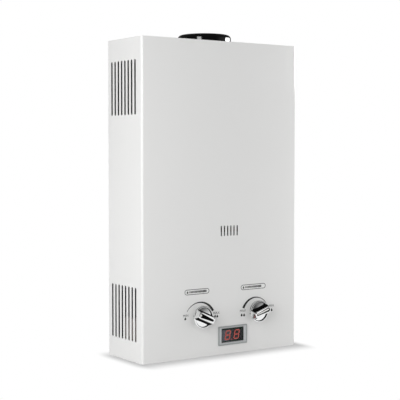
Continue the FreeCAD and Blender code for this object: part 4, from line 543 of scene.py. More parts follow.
@finish("#9DA1A1", 0.42, Metallic=0.35)
def silver_lacquer_shaded_ledge(silver):
    """The same lacquer on the bezel's sunken outer ledge, made darker: painted shade that gives a darker grey
    border.
    """
    flaked(silver, "#979C9B", "#A9ADAD")


@finish("#1C1D21", 0.04, sheen=(8, 0.02, 0.07), IOR=1.49, Alpha=0.2)
def smoked_acrylic(pane):
    """Smoked clear acrylic: dark gloss that lets the lit digits through."""


@finish("#8A3A34", 0.4, Emission_Strength=0.75)
def lit_segment(light):
    """Red LED segments: their own light, uneven within each stroke."""
    light.use(Emission_Color=light.blend(light.grain(1.2), "#B8352B", "#E87A6C"))


@finish("#15171A", 0.5, bumps=(0.4, 0.01))
def potted_module_face(face):
    """Epoxy face of the digit module: black where the digits sit, with a painted reflection in slate grey
    beside them.
    """
    low, high = node_box("digit_module")
    # slate grey at the module's left, fading to black: a painted reflection
    dark = face.between(face.along("X"), 0, 1, low.x + 2, low.x + 0.62 * (high.x - low.x))
    face.use(Base_Color=face.blend(dark, "#7F848D", "#0B0C0E"))


@finish("ink", 0.45, sheen=(0.8, 0.4, 0.55))
def print_ink(ink):
    """Screen-printed ink: flat black with the coat's satin."""


@finish("#2C2C2B", 0.5, sheen=(0.8, 0.42, 0.58))
def grey_print_ink(ink):
    """The same ink in thin lines, which print a little greyer."""


@finish("#C8A050", 0.26, (7, "#B98F42", "#D5B064"), (3, 0.2, 0.36), Metallic=1.0)
def turned_brass(brass):
    """Machined brass: fine turning lines and a warm tarnish in clouds."""
    lines = add(brass.tree, "ShaderNodeTexWave", {
        "Vector": brass.mm, "Scale": 1 / 2.4, "Distortion": 0.6, "Detail": 1.0}, bands_direction="Z")["Fac"]
    brass.use(Normal=brass.relief(lines, 0.01))


@finish("#C0795A", 0.3, (16, "#6E4433", "#B0745A"), (5, 0.24, 0.45), (1.2, 0.004, 2, (0.1, 1, 1)),
        Metallic=1.0)
def drawn_copper(copper):
    """Drawn copper with solder heat: orange metal going brown in clouds."""


@finish("#3A2A24", 0.6, (14, "#2E2320", "#4C352B"), bumps=(1.5, 0.01, 3), Metallic=0.6)
def heat_browned_copper(copper):
    """Copper round the flames: oxidised to a dull dark brown, without a shine."""


@finish("#3C3D3E", 0.6, sheen=(6, 0.5, 0.7), Metallic=0.5)
def aluminised_sheet(sheet):
    """Hot-dip aluminised sheet, soft grey low down; higher up, soot clouds and painted shade darken it."""
    # dark soot clouds, faded in with height as painted shade
    soot_and_shade = sheet.clouds(30, "#262728", "#3A3B3C")
    sheet.use(Base_Color=sheet.blend(sheet.inner_shade_share(), "#8C8D8D", soot_and_shade))


@finish("#9A9792", 0.35, (22, "#8B8D96", "#B39A72"), (2, 0.28, 0.45), (0.9, 0.006, 2, (0.1, 1, 1)),
        Metallic=1.0)
def heat_tinted_stainless(steel):
    """Pressed stainless burner sheet: straw and blue oxide colours near the flames."""


@finish("#C9CBCD", 0.32, Metallic=1.0)
def drawn_aluminium(tube):
    """Drawn aluminium: pale metal with long soft lines."""
    lines = tube.grain(0.8, stretch=(1, 1, 0.05))
    tube.use(Roughness=tube.between(lines, 0.26, 0.4), Normal=tube.relief(lines, 0.005))


@finish("#A6A9AB", 0.5, (14, "#979A9C", "#B3B6B8"), (4, 0.44, 0.6), (1.1, 0.05, 4), Metallic=1.0)
def die_cast_aluminium(cast):
    """As-cast aluminium: dull grey skin with a fine pebbled grain."""


@finish("#ECE9E1", 0.18, bumps=(3, 0.01))
def glazed_ceramic(glaze):
    """Glazed alumina: warm white under a clear gloss, with specks in the glaze."""
    specks = glaze.between(glaze.grain(0.9), 0, 1, 0.66, 0.7)
    glaze.use(Base_Color=glaze.blend(specks, "#ECE9E1", "#C9BFAE"))


@finish("#202124", 0.5, sheen=(2, 0.42, 0.6), bumps=(0.7, 0.02, 3))
def moulded_black(resin):
    """Injection-moulded ABS with a spark-eroded texture: charcoal with broken highlights."""


@finish("battery_box", 0.45, sheen=(5, 0.38, 0.52), bumps=(0.8, 0.015, 3))
def moulded_warm_grey(resin):
    """Injection-moulded polypropylene of the battery box: waxy warm grey."""


@finish("#9A2A20", 0.55, bumps=(1.0, 0.01), Sheen_Weight=0.15)
def red_silicone(lead):
    """Silicone lead insulation: saturated red with a dusty sheen."""


@finish("#BFC4C9", 0.28, (3, "#B4BCC6", "#CFCDBE"), (1.5, 0.22, 0.38), Metallic=1.0)
def zinc_plated_steel(zinc):
    """Bright zinc plate, blue passivated: cool metal with a faint iridescent cloud."""


@finish("#3A3A39", 0.85)
def fibre_gasket(seal):
    """Compressed fibre sheet: matt dark grey with pale strands."""
    strands = seal.grain(0.6, 4, (0.25, 1, 1))
    pale = seal.between(strands, 0, 1, 0.55, 0.75)
    seal.use(Base_Color=seal.blend(pale, "#353534", "#6B6A66"), Normal=seal.relief(strands, 0.05))


@finish("#145A32", 0.3)
def laminate_board(board):
    """Lacquered glass-fibre laminate: green gloss over copper tracks, drawn coarser than real."""
    tracks = add(board.tree, "ShaderNodeTexBrick", {
        "Vector": board.mm, "Scale": 1 / 2.5, "Mortar Size": 0.08, "Color1": rgba("#0F4E2A"),
        "Color2": rgba("#14592F"), "Mortar": rgba("#2C7F4B")})
    board.use(Base_Color=tracks["Color"], Normal=board.relief(tracks["Fac"], 0.03))


@finish("#1B1B1D", 0.22, sheen=(2, 0.18, 0.3))
def cell_film(film):
    """Printed shrink film of a dry cell: black body with a copper-coloured end, bare of words."""
    low, high = node_box("batteries")
    edge = low.y + 0.28 * (high.y - low.y)
    black = film.between(film.along("Y"), 0, 1, edge, edge + 0.2)
    film.use(Base_Color=film.blend(black, "#B5793F", "#1B1B1D"))


# what each of the record's slots is finished with, and the nodes that differ from their slot
SLOT_FINISH = {
    "white_enamel": "powder_coated_sheet", "galvanised_steel": "galvanised_sheet",
    "black_enamel": "gloss_black_enamel", "seal_fibre": "fibre_gasket", "copper": "drawn_copper",
    "burner_steel": "heat_tinted_stainless", "aluminium_tube": "drawn_aluminium", "brass": "turned_brass",
    "cast_aluminium": "die_cast_aluminium", "white_ceramic": "glazed_ceramic",
    "black_plastic": "moulded_black", "lead_insulation": "red_silicone", "zinc_steel": "zinc_plated_steel",
    "chrome": "chrome_plate", "silver_plastic": "silver_lacquer", "display_window": "smoked_acrylic",
    "digit_red": "potted_module_face", "circuit_board": "laminate_board", "cell_wrap": "cell_film"}
NODE_FINISH = {
    "battery_box": "moulded_warm_grey", "battery_lid": "moulded_warm_grey",
    "exchanger_shell": "heat_browned_copper", "chamber_coil": "heat_browned_copper",
    "exhaust_hood": "aluminised_sheet", "side_rails": "aluminised_sheet", "hood_brackets": "aluminised_sheet"}


# ---- Geometry Nodes

def new_tree(name, **kinds):
    """A Geometry Nodes tree with named inputs, and the outputs of its input node."""
    tree = bpy.data.node_groups.new(name, "GeometryNodeTree")
    for title, kind in kinds.items():
        tree.interface.new_socket(name=title, in_out="INPUT", socket_type="NodeSocket" + kind)
    tree.interface.new_socket(name="Geometry", in_out="OUTPUT", socket_type="NodeSocketGeometry")
    return tree, tree.nodes.new("NodeGroupInput").outputs


def ended(tree, geometry, finish):
    """Every tree ends the same way: real geometry, and one finish on it."""
    real = add(tree, "GeometryNodeRealizeInstances", {"Geometry": geometry})[0]
    painted = add(tree, "GeometryNodeSetMaterial", {"Geometry": real, "Material": finish})[0]
    add(tree, "NodeGroupOutput", {0: painted})
    return tree


def row_of_pieces():
    """A row of equal pieces, each turned the same way; Growth makes each one larger than the last."""
    tree, given = new_tree("row_of_pieces", Item="Object", Count="Int", First="Vector", Step="Vector",
                           Turn="Rotation", Growth="Float", Finish="Material")
    places = add(tree, "GeometryNodeMeshLine", {"Count": given["Count"], "Start Location": given["First"],
                                                "Offset": given["Step"]}, mode="OFFSET")[0]
    item = add(tree, "GeometryNodeObjectInfo", {"Object": given["Item"]})["Geometry"]
    index = add(tree, "GeometryNodeInputIndex", {})[0]
    grown = calc(tree, "MULTIPLY_ADD", index, given["Growth"], 1.0)
    pieces = add(tree, "GeometryNodeInstanceOnPoints", {"Points": places, "Instance": item,
                                                        "Rotation": given["Turn"], "Scale": grown})[0]
    return ended(tree, pieces, given["Finish"])


def thread_ridge():
    """The ridge of a pipe thread: a small profile that follows a helix."""
    tree, given = new_tree("thread_ridge", Radius="Float", Pitch="Float", Turns="Float", Ridge="Float",
                           Foot="Vector", Finish="Material")
    rise = calc(tree, "MULTIPLY", given["Pitch"], given["Turns"])
    helix = add(tree, "GeometryNodeCurveSpiral", {
        "Resolution": 40, "Rotations": given["Turns"], "Start Radius": given["Radius"],
        "End Radius": given["Radius"], "Height": rise})[0]
    profile = add(tree, "GeometryNodeCurvePrimitiveCircle", {"Resolution": 6, "Radius": given["Ridge"]})[0]
    ridge = add(tree, "GeometryNodeCurveToMesh", {"Curve": helix, "Profile Curve": profile,
                                                  "Fill Caps": True})[0]
    seat = add(tree, "GeometryNodeTransform", {"Geometry": ridge, "Translation": given["Foot"]})[0]
    return ended(tree, seat, given["Finish"])


def as_mesh(carrier):
    """The plain mesh of an object with its modifiers; the object goes."""
    ready = carrier.evaluated_get(bpy.context.evaluated_depsgraph_get())
    mesh = bpy.data.meshes.new_from_object(ready)
    bpy.data.objects.remove(carrier)
    return mesh


def grown_mesh(name, maker, values):
    """The mesh that a Geometry Nodes tree, named for its maker, gives with these inputs."""
    tree = bpy.data.node_groups.get(maker.__name__) or maker()
    carrier = placed(name, bpy.data.meshes.new(name))
    modifier = carrier.modifiers.new(name, "NODES")
    modifier.node_group = tree
    for socket in tree.interface.items_tree:
        if socket.item_type == "SOCKET" and socket.in_out == "INPUT":
            modifier[socket.identifier] = values[socket.name]
    return as_mesh(carrier)


def row_of(name, item, count, first, step, finish, turn=(0, 0, 0), growth=0.0):
    """A mesh of repeated copies of a shell; places are in mm."""
    one = placed(name + "_one", shell_mesh(name + "_one", item))
    made = grown_mesh(name, row_of_pieces, {
        "Item": one, "Count": count, "First": Vector(first) * MM, "Step": Vector(step) * MM, "Turn": turn,
        "Growth": growth, "Finish": finish_of(finish)})
    bpy.data.objects.remove(one)
    return made


# ---- knobs

KNOB_RADIUS = 19.7
HUB_RADIUS = 11.0
DISC_BACK = 8.0                   # how far the back of the disc stands off the panel
DISC_FRONT = 13.5                 # the rolled rim
CROWN = 14.2                      # the middle of the crowned face
CROWN_FALL = 2.4                  # how much lower the face is beside the rim's black line
# the black line round the face is a painted dark reflection in a shallow groove
LINE_OUT, LINE_IN = 2.3, 3.3      # the black line round the face, measured in from the edge
LINE_DEPTH = 0.5
# the bar grip, level by level: half its length, half its width and its corner radius, with the height off the
# panel on its flanks, painted black as dark reflections, and the depth below its top on the chrome above them
GRIP_FLANKS = ((19.0, 9.3, 4.6, 11.0), (18.8, 9.1, 4.4, 13.0), (18.5, 8.8, 4.2, 14.6))
GRIP_TOP = ((17.2, 5.7, 3.5, 1.0), (16.9, 5.4, 3.3, 0.3), (16.5, 5.0, 3.1, 0))
SCOOP_DEPTH = 1.9
SCOOP = (15.7, -14.8, 3.8, 2.0)   # both ends of the tapering scoop, then half its width at each
SCOOP_STEPS = ((0, 0), (0.35, 0.5), (0.9, SCOOP_DEPTH - 0.3), (1.3, SCOOP_DEPTH))    # inset and depth
TAIL_LEAN = 0.6                   # share of the inset at the scoop's narrow tail
# the white index in the scoop, also a painted highlight (the flow knob's stripe is only that): both of its
# ends, then half its width at each
DOT, HIGHLIGHT_STRIPE = (15.1, 11.4, 1.85, 1.85), (14.2, -11.8, 1.3, 0.9)
WHITE_MARK_STEPS = ((0, -0.3), (0, 0.9), (0.25, 1.2))      # inset, and height over the scoop's floor


def knob(name, node, body, pointer, index):
    """A chromed disc with a rolled rim and a bar grip; black paint in its flanks, its scoop and the line
    round its face stands in for dark reflections, and its white mark is a painted highlight.
    """
    low, high = node_box(node)
    spindle = middle(node.replace("_knob", "_spindle"))
    near, far = PANEL - high.y, PANEL - low.y
    place = on_panel(spindle.x, spindle.z, pointer)
    edge, face = KNOB_RADIUS - LINE_OUT, KNOB_RADIUS - LINE_IN
    line = CROWN - CROWN_FALL - LINE_DEPTH
    crown = [(face * share, CROWN - CROWN_FALL * share ** 2, 0) for share in (1, 0.84, 0.67, 0.5, 0.33, 0.17)]
    profile = filleted([(0.4, near, 0), (HUB_RADIUS, near, 0.4), (HUB_RADIUS, DISC_BACK, 0.7),
                        (KNOB_RADIUS, DISC_BACK, 0.8), (KNOB_RADIUS, DISC_FRONT, 1.7),
                        (edge, DISC_FRONT, 0.4), (edge, line, 0), (face, line, 0), *crown, (0.4, CROWN, 0)])

    def in_line(a, b):
        """1 for a step of the profile that lies in the black line round the face, a painted dark reflection.
        """
        low, high = min(a[0], b[0]), max(a[0], b[0])
        return int(low > face - 0.1 and high < edge + 0.1 and min(a[1], b[1]) < line + 0.1)

    shell = Shell()
    shell.turned(profile, place, 96, [*(in_line(a, b) for a, b in zip(profile, profile[1:])), 0])
    # the two long sides of the grip, with half of each corner beside them
    near_side = range(-SIDE // 2, SIDE // 2 + 1)
    long_sides = {side + step for side in (SIDE, 3 * SIDE + 2) for step in near_side}

    def flank(face_index):
        return int(face_index in long_sides)

    def scoop(inset, depth):
        """The scoop's wall leans more at its wide end than at its tail."""
        end, tail, end_half, tail_half = SCOOP
        end_half, tail_half = end_half - inset, tail_half - inset * TAIL_LEAN
        return lifted(four_corners(end - inset, tail + inset * TAIL_LEAN, end_half, tail_half,
                                   end_half - 0.1, tail_half - 0.1), place, far - depth)

    def white_mark_ring(inset, rise):
        end, tail, end_half, tail_half = index
        end_half, tail_half = end_half - inset, tail_half - inset
        return lifted(four_corners(end - inset, tail + inset, end_half, tail_half, end_half - 0.05,
                                   tail_half - 0.05), place, far - SCOOP_DEPTH + rise)

    # the flanks and the scoop get black paint for dark reflections, the top between them chrome
    shell.stack([lifted(rounded(*size), place, level) for *size, level in GRIP_FLANKS]
                + [lifted(rounded(*size), place, far - depth) for *size, depth in GRIP_TOP]
                + [scoop(*step) for step in SCOOP_STEPS], [flank, flank, flank, 0, 0, 0, 1, 1, 1])
    # the white mark, a painted highlight
    shell.stack([white_mark_ring(*step) for step in WHITE_MARK_STEPS], 2)
    return piece(name, shell, ["chrome_plate", "black_reflection_paint", "white_index_and_highlight"], body, [node])


# ---- printed marks

# Places on the front sheet in mm, across from the middle and up from the bottom edge.
ARCS = (("temperature_spindle", 6.9, 31.6, 147, 27),      # axis, centre below it, radius, both ends' angles
        ("water_flow_spindle", 5.4, 29.7, 37, 156))
FLAMES = ((-78.4, 69.9), (-15.8, 69.0), (-11.0, 68.7))
DROPS = ((42.5, 66.1), (47.9, 65.7), (110.2, 69.9))
WORDS = (("MIN", -77.4, 74.9), ("MAX", -12.7, 74.3), ("MAX", 45.1, 73.3), ("MIN", 109.8, 77.2))
WORD_HEIGHT = 4.4
FONT_SHARE = 1.35                         # a font's size over the height of its capitals
LEAN = 0.10                               # how far a flame leans; a drop doesn't
FLAME_SIZE, DROP_SIZE, SIGN_SIZE = 4.9, 5.4, 4.6
PILLS = (("left", -53.9, 115.0, 51.6, LEAN), ("right", 68.4, 115.2, 55.6, 0.0))    # place, width, sign's lean
PILL_WALL = 1.0
SIGN_IN, BARS_IN = 6.0, 11.0              # from a pill's left end
BAR, BAR_COUNT, BAR_STEP, BAR_GROWTH = (1.9, 3.6), 13, 2.8, 0.02


def patch(shell, outline, place, back=0.0, thick=INK):
    shell.stack([lifted(outline, place, back), lifted(outline, place, back + thick)])


def scale_arc(shell, place, radius, thin, thick, start, end):
    """An arc that grows from a thin end to a thick one; angles in degrees."""
    steps = 40
    outer, inner = [], []
    for step in range(steps + 1):
        share = step / steps
        turn = math.radians(start + (end - start) * share)
        half = (thin + (thick - thin) * share ** 1.6) / 2
        outer.append(((radius + half) * math.cos(turn), (radius + half) * math.sin(turn)))
        inner.append(((radius - half) * math.cos(turn), (radius - half) * math.sin(turn)))
    patch(shell, outer + inner[::-1], place)


def drop(size, lean=0.0):
    """A teardrop, or a flame when it leans: its point is up."""
    count = 20
    outline = []
    for step in range(count):
        turn = 2 * math.pi * (step + 0.5) / count
        x = 0.52 * size * math.sin(turn) * math.sin(turn / 2) ** 1.1
        y = 0.5 * size * math.cos(turn)
        outline.append((x + lean * size * (0.5 + y / size) ** 2, y))
    return outline


def scale_word(text, x, z):
    """A short generic word of a scale, printed on the front sheet."""
    curve = bpy.data.curves.new(text, "FONT")
    curve.body = text
    curve.align_x = curve.align_y = "CENTER"
    curve.size = WORD_HEIGHT * MM * FONT_SHARE
    curve.extrude = INK * MM / 2
    curve.space_character = 1.1
    carrier = placed(text, curve)
    carrier.rotation_euler = (math.pi / 2, 0, 0)
    carrier.location = (x * MM, (PANEL - INK / 2) * MM, z * MM)
    bpy.context.view_layer.update()
    seat = carrier.matrix_world.copy()
    mesh = as_mesh(carrier)
    mesh.transform(seat)
    mesh.materials.clear()
    mesh.materials.append(finish_of("print_ink"))
    return mesh


# ---- operators

class HeaterOperator:
    """What the heater's operators share."""
    bl_options = {"REGISTER", "UNDO"}


class HEATER_OT_node_finishes(HeaterOperator, bpy.types.Operator):
    """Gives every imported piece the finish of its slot"""
    bl_idname = "heater.node_finishes"
    bl_label = "Finish the packed pieces"

    def execute(self, context):
        for name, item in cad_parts.items():
            for slot in item.material_slots:
                slot_name = slot.material.name.split(".")[0]
                slot.material = finish_of(NODE_FINISH.get(name) or SLOT_FINISH[slot_name])
        return {"FINISHED"}


class HEATER_OT_knobs(HeaterOperator, bpy.types.Operator):
    """Makes the two chromed control knobs"""
    bl_idname = "heater.knobs"
    bl_label = "Control knobs"

    def execute(self, context):
        sizes = context.scene.heater_sizes
        knob("temperature_knob_chromed", "temperature_knob", "temperature_control",
             sizes.temperature_pointer, DOT)
        knob("water_flow_knob_chromed", "water_flow_knob", "flow_control", sizes.flow_pointer, HIGHLIGHT_STRIPE)
        return {"FINISHED"}


class HEATER_OT_prints(HeaterOperator, bpy.types.Operator):
    """Prints the two scales: tapering arcs, outlined captions with plain signs, and end marks"""
    bl_idname = "heater.prints"
    bl_label = "Printed scales"

    def execute(self, context):
        sizes = context.scene.heater_sizes
        black = Shell()
        for node, below, radius, start, end in ARCS:
            axis = middle(node)
            scale_arc(black, on_panel(axis.x, axis.z - below), radius, sizes.scale_thin / MM,
                      sizes.scale_thick / MM, start, end)
        for places, outline in ((FLAMES, drop(FLAME_SIZE, LEAN)), (DROPS, drop(DROP_SIZE))):
            for x, z in places:
                patch(black, outline, on_panel(x, z))
        piece("printed_scales", black, ["print_ink"], "casing").data.shade_flat()
        grey = Shell()
        height = sizes.pill_height / MM
        for side, x, z, width, lean in PILLS:
            place = on_panel(x, z)
            grey.stack([lifted(stadium(width, height, wall), place, level) for wall, level in (
                (0.0, 0.0), (0.0, INK), (PILL_WALL, INK), (PILL_WALL, 0.0))], closed=True)
            patch(grey, drop(SIGN_SIZE, lean), on_panel(x - width / 2 + SIGN_IN, z))
        piece("printed_captions", grey, ["grey_print_ink"], "casing").data.shade_flat()
        for side, x, z, width, lean in PILLS:
            dash = Shell()
            patch(dash, stadium(*BAR), lambda u, w, out: (u, -out, w))
            bars = row_of("bars", dash, BAR_COUNT, (x - width / 2 + BARS_IN, PANEL, z), (BAR_STEP, 0, 0),
                          "grey_print_ink", growth=BAR_GROWTH)
            joined("caption_bars_" + side, [bars], "casing")
        joined("scale_words", [scale_word(*word) for word in WORDS], "casing")
        return {"FINISHED"}


DIGIT_HEIGHT, DIGIT_WIDTH = 17.0, 11.4
DIGITS_AT = (-9.4, 9.9)                   # across from the middle of the digit module
STROKE = 1.9                              # width of a digit's stroke
SEGMENT_PROUD = 0.22                      # how far a stroke stands off the module's face
SLANT = math.tan(math.radians(11))
LEDGE = 0.9                               # how far the bezel's outer ledge lies below its front
# the ledge's darker finish is painted shade
SHADED_LEDGE_MARK = [1, 1, 1, 0, 0, 0, 0, 0, 0, 0]      # steps of the bezel that have the ledge's finish


class HEATER_OT_display(HeaterOperator, bpy.types.Operator):
    """Makes the silver bezel, the smoked window and the lit digits behind it"""
    bl_idname = "heater.display"
    bl_label = "Display"

    def execute(self, context):
        bezel, pane = node_box("display_bezel"), node_box("display_window")
        out = PANEL - bezel[0].y
        ledge = out - LEDGE

        def ring(box, grow, corner, level):
            """A rounded outline, grow mm outside a node's box."""
            size, centre = box[1] - box[0], (box[0] + box[1]) / 2
            outline = rounded(size.x / 2 + grow, size.z / 2 + grow, corner, steps=6)
            return lifted(outline, on_panel(centre.x, centre.z), level)

        outside = [(0, 1.2, 0), (0, 1.2, ledge - 0.3), (-0.3, 1.1, ledge), (-2.0, 0.9, ledge),
                   (-2.2, 0.8, out - 0.3), (-2.5, 0.7, out)]
        opening = [(1.1, 0.9, out), (0.4, 0.5, out - 0.35), (0.05, 0.4, out - 0.75), (0.05, 0.4, 0)]
        shell = Shell()
        shell.stack([ring(bezel, *step) for step in outside] + [ring(pane, *step) for step in opening],
                    SHADED_LEDGE_MARK, closed=True)
        piece("display_bezel_lacquered", shell, ["silver_lacquer", "silver_lacquer_shaded_ledge"], "casing",
              ["display_bezel"])

        module = middle("digit_module")
        face = PANEL - node_box("digit_module")[0].y
        digits = Shell()

        def segment(place, x, z, along, on_end):
            """One six-sided stroke of a digit, leaning with it."""
            half, tip = along / 2 - 0.25, STROKE / 2
            corners = [(-half, 0), (tip - half, tip), (half - tip, tip), (half, 0), (half - tip, -tip),
                       (tip - half, -tip)]
            if on_end:
                corners = [(w, u) for u, w in corners]
            outline = [(x + u + SLANT * (z + w), z + w) for u, w in corners]
            patch(digits, outline, place, face, SEGMENT_PROUD)

        across, up = (DIGIT_WIDTH - STROKE) / 2, (DIGIT_HEIGHT - STROKE) / 2
        for offset in DIGITS_AT:
            place = on_panel(module.x + offset, module.z + 0.6)
            for level in (-up, 0, up):
                segment(place, 0, level, 2 * across, False)
            for x in (-across, across):
                for level in (-up / 2, up / 2):
                    segment(place, x, level, up, True)
        point = on_panel(module.x - 0.9, module.z - DIGIT_HEIGHT / 2 + 0.8)
        patch(digits, round_outline(0.9, 16), point, face, SEGMENT_PROUD)
        piece("display_digits", digits, ["lit_segment"], "casing").data.shade_flat()
        return {"FINISHED"}


class HEATER_OT_flue(HeaterOperator, bpy.types.Operator):
    """Makes the enamelled flue collar with its rolled rim and flange"""
    bl_idname = "heater.flue"
    bl_label = "Flue collar"

    def execute(self, context):
        low, high = node_box("flue_collar")
        axis, half = (low + high) / 2, (high - low) / 2
        place, count = upright(axis.x, axis.y), 128
        gasket_top = node_box("flue_gasket")[1].z
        flange, top = gasket_top + 0.8, high.z
        drum, wall, roll = 47.5, 1.2, 6.5      # outer radius, sheet thickness and radius of the rim
        spigot, spigot_in = 40.0, 39.2         # both radii of the spigot that goes into the hood
        inner = drum - wall

        def plate(level, inset):
            """The flange's edge, seen along each direction from the axis."""
            return reached(place, count, lambda x, y: min((half.x - inset) / max(abs(x), 1e-9),
                                                          (half.y - inset) / max(abs(y), 1e-9)), level)

        outside = filleted([(drum + 2.4, flange, 0), (drum, flange, 2.0), (drum, top, roll),
                            (drum - roll, top, 0)], steps=8)
        inside = filleted([(drum - roll, top, 0), (drum - roll, top - wall, 0),
                           (inner, top - wall, roll - wall), (inner, flange, 1.0), (spigot_in, flange, 1.2),
                           (spigot_in, low.z, 0), (spigot, low.z, 0), (spigot, gasket_top, 0)])
        shell = Shell()
        shell.stack([plate(gasket_top, 0), plate(flange - 0.25, 0), plate(flange, 0.25)]
                    + [hoop(place, count, *step) for step in outside + inside], closed=True)
        piece("flue_collar_enamelled", shell, ["gloss_black_enamel"], "casing",
              ["flue_collar"])
        return {"FINISHED"}


THREAD, BORE, NECK = 10.48, 7.0, 9.0     # radii of a union: over the thread, inside, and above the hexagon
ROOT = THREAD - 0.9                      # radius at the foot of the thread
HEX_LOW, HEX_HIGH = 20.0, 28.0           # heights of the hexagon above the floor


def union(name, node, pitch):
    """A pipe union: threaded stub, chamfered hexagon, collar and neck, with its bore."""
    low, high = node_box(node)
    axis = middle(node)
    place, count = upright(axis.x, axis.y), 96
    flat = (high.y - low.y) / 2
    corner = flat / math.cos(math.pi / 6)
    bevel = corner - flat

    def hexagon(inset, level):
        """A six-sided outline whose corners are cut by a cone."""
        def reach(x, y):
            turn = math.atan2(y, x) % (math.pi / 3) - math.pi / 6
            return min(flat / math.cos(turn), corner - inset)
        return reached(place, count, reach, level)

    def hoops(*steps):
        return [hoop(place, count, *step) for step in steps]

    shell = Shell()
    shell.stack(hoops((BORE, low.z), (THREAD - 1.9, low.z), (ROOT, low.z + 1.0), (ROOT, HEX_LOW - 1.2),
                      (ROOT - 0.4, HEX_LOW - 1.0), (ROOT - 0.4, HEX_LOW))
                + [hexagon(bevel, HEX_LOW), hexagon(0, HEX_LOW + bevel * 0.55),
                   hexagon(0, HEX_HIGH - bevel * 0.55), hexagon(bevel, HEX_HIGH)]
                + hoops((NECK, HEX_HIGH), (NECK, high.z), (BORE, high.z)), closed=True)
    turns = math.floor((HEX_LOW - 1.6 - low.z) * MM / pitch)
    ridge = grown_mesh(name + "_ridge", thread_ridge, {
        "Radius": (THREAD - 0.85) * MM, "Pitch": pitch, "Turns": float(turns), "Ridge": 0.85 * MM,
        "Foot": Vector((axis.x, axis.y, low.z + 0.9)) * MM, "Finish": finish_of("turned_brass")})
    ridge.shade_smooth()
    joined(name, [shell_mesh(name + "_stub", shell, ["turned_brass"]), ridge], "casing", [node])


class HEATER_OT_unions(HeaterOperator, bpy.types.Operator):
    """Makes the three threaded pipe unions under the casing"""
    bl_idname = "heater.unions"
    bl_label = "Pipe unions"

    def execute(self, context):
        for node in ("gas_inlet", "cold_inlet", "hot_outlet"):
            union(node + "_turned", node, context.scene.heater_sizes.thread_pitch)
        return {"FINISHED"}


HEAD_RADIUS, HEAD_HEIGHT = 3.6, 2.2      # a screw's pan head


def pan_head():
    """A pan head, its underside at zero and its top towards +Z, with a cross recess."""
    place, count = upright(), 48
    arm, width = 0.62 * HEAD_RADIUS, 0.17 * HEAD_RADIUS

    def cross(scale, level):
        """A cross-shaped outline with one point for each point of the head's ring."""
        def reach(x, y):
            along, across = max(abs(x), abs(y)), min(abs(x), abs(y))
            return max(min(arm / along, width / max(across, 1e-6)) * scale, width * 1.42 * scale)
        return reached(place, count, reach, level * HEAD_HEIGHT)

    head = Shell()
    head.stack([hoop(place, count, size * HEAD_RADIUS, level * HEAD_HEIGHT)
                for size, level in ((1, 0), (1, 0.35), (0.93, 0.72), (0.76, 0.93))]
               + [cross(1.12, 1), cross(0.92, 0.86), cross(0.5, 0.35)])
    return head


class HEATER_OT_screws(HeaterOperator, bpy.types.Operator):
    """Sets the cross-recessed screws of the cover and of the flue flange"""
    bl_idname = "heater.screws"
    bl_label = "Screws"

    def execute(self, context):
        head = pan_head()

        def pair(name, y, foot, turn):
            """Two screws, one at each end of the box from low to high."""
            return row_of(name, head, 2, (low.x + HEAD_RADIUS, y, foot),
                          (high.x - low.x - 2 * HEAD_RADIUS, 0, 0), "zinc_plated_steel", turn)

        low, high = node_box("cover_screws")
        y = (low.y + high.y) / 2
        rows = [pair("over", y, high.z - HEAD_HEIGHT, (0, 0, 0.4)),
                pair("under", y, low.z + HEAD_HEIGHT, (math.pi, 0, 0.9))]
        joined("cover_screws_plated", rows, "casing", ["cover_screws"])
        low, high = node_box("flue_screws")
        rows = [pair("row", y, high.z - HEAD_HEIGHT, (0, 0, turn))
                for y, turn in ((low.y + HEAD_RADIUS, 0.2), (high.y - HEAD_RADIUS, 1.1))]
        joined("flue_screws_plated", rows, "casing", ["flue_screws"])
        return {"FINISHED"}


class HEATER_OT_bay(HeaterOperator, bpy.types.Operator):
    """Adds the battery lid's grip ribs and the drain plug's knurled head"""
    bl_idname = "heater.bay"
    bl_label = "Battery lid and drain plug"

    def execute(self, context):
        low = node_box("battery_lid")[0]
        size, width, step = 22.0, 1.6, 3.6     # of a grip rib, and from one rib to the next
        rib = Shell()
        rib.stack([lifted(stadium(size - inset, width - inset), upright(), depth)
                   for depth, inset in ((0.3, 0), (-0.5, 0), (-0.8, 0.5))])
        first = (middle("battery_lid").x, low.y + 12, node_box("battery_box")[0].z)
        count = context.scene.heater_sizes.lid_ribs
        ribs = row_of("ribs", rib, count, first, (0, step, 0), "moulded_warm_grey")
        joined("battery_lid_ribs", [ribs], "battery_lid")

        low, high = node_box("drain_plug")
        axis = middle("drain_plug")
        place = upright(axis.x, axis.y)
        head, head_top, stem = (high.x - low.x) / 2, 29.9, 6.2

        def knurled(share, level, depth):
            """A ring of the head, cut in by a depth at every other pair of points."""
            cuts = [1 - depth * (i % 4 > 1) for i in range(96)]
            outline = round_outline(share * head, 96)
            return [place(x * cut, y * cut, level) for (x, y), cut in zip(outline, cuts)]

        plug = Shell()
        plug.stack([knurled(*step) for step in (
            (0.55, low.z + 1.2, 0), (0.62, low.z, 0), (0.9, low.z, 0), (1, low.z + 0.9, 0.05),
            (1, head_top - 1.3, 0.05), (0.94, head_top, 0))])
        plug.turned([(0.5, head_top - 0.4), (stem, head_top - 0.4), (stem, high.z), (0.5, high.z)], place, 48)
        piece("drain_plug_knurled", plug, ["moulded_black"], "casing", ["drain_plug"])
        return {"FINISHED"}


# ---- stage

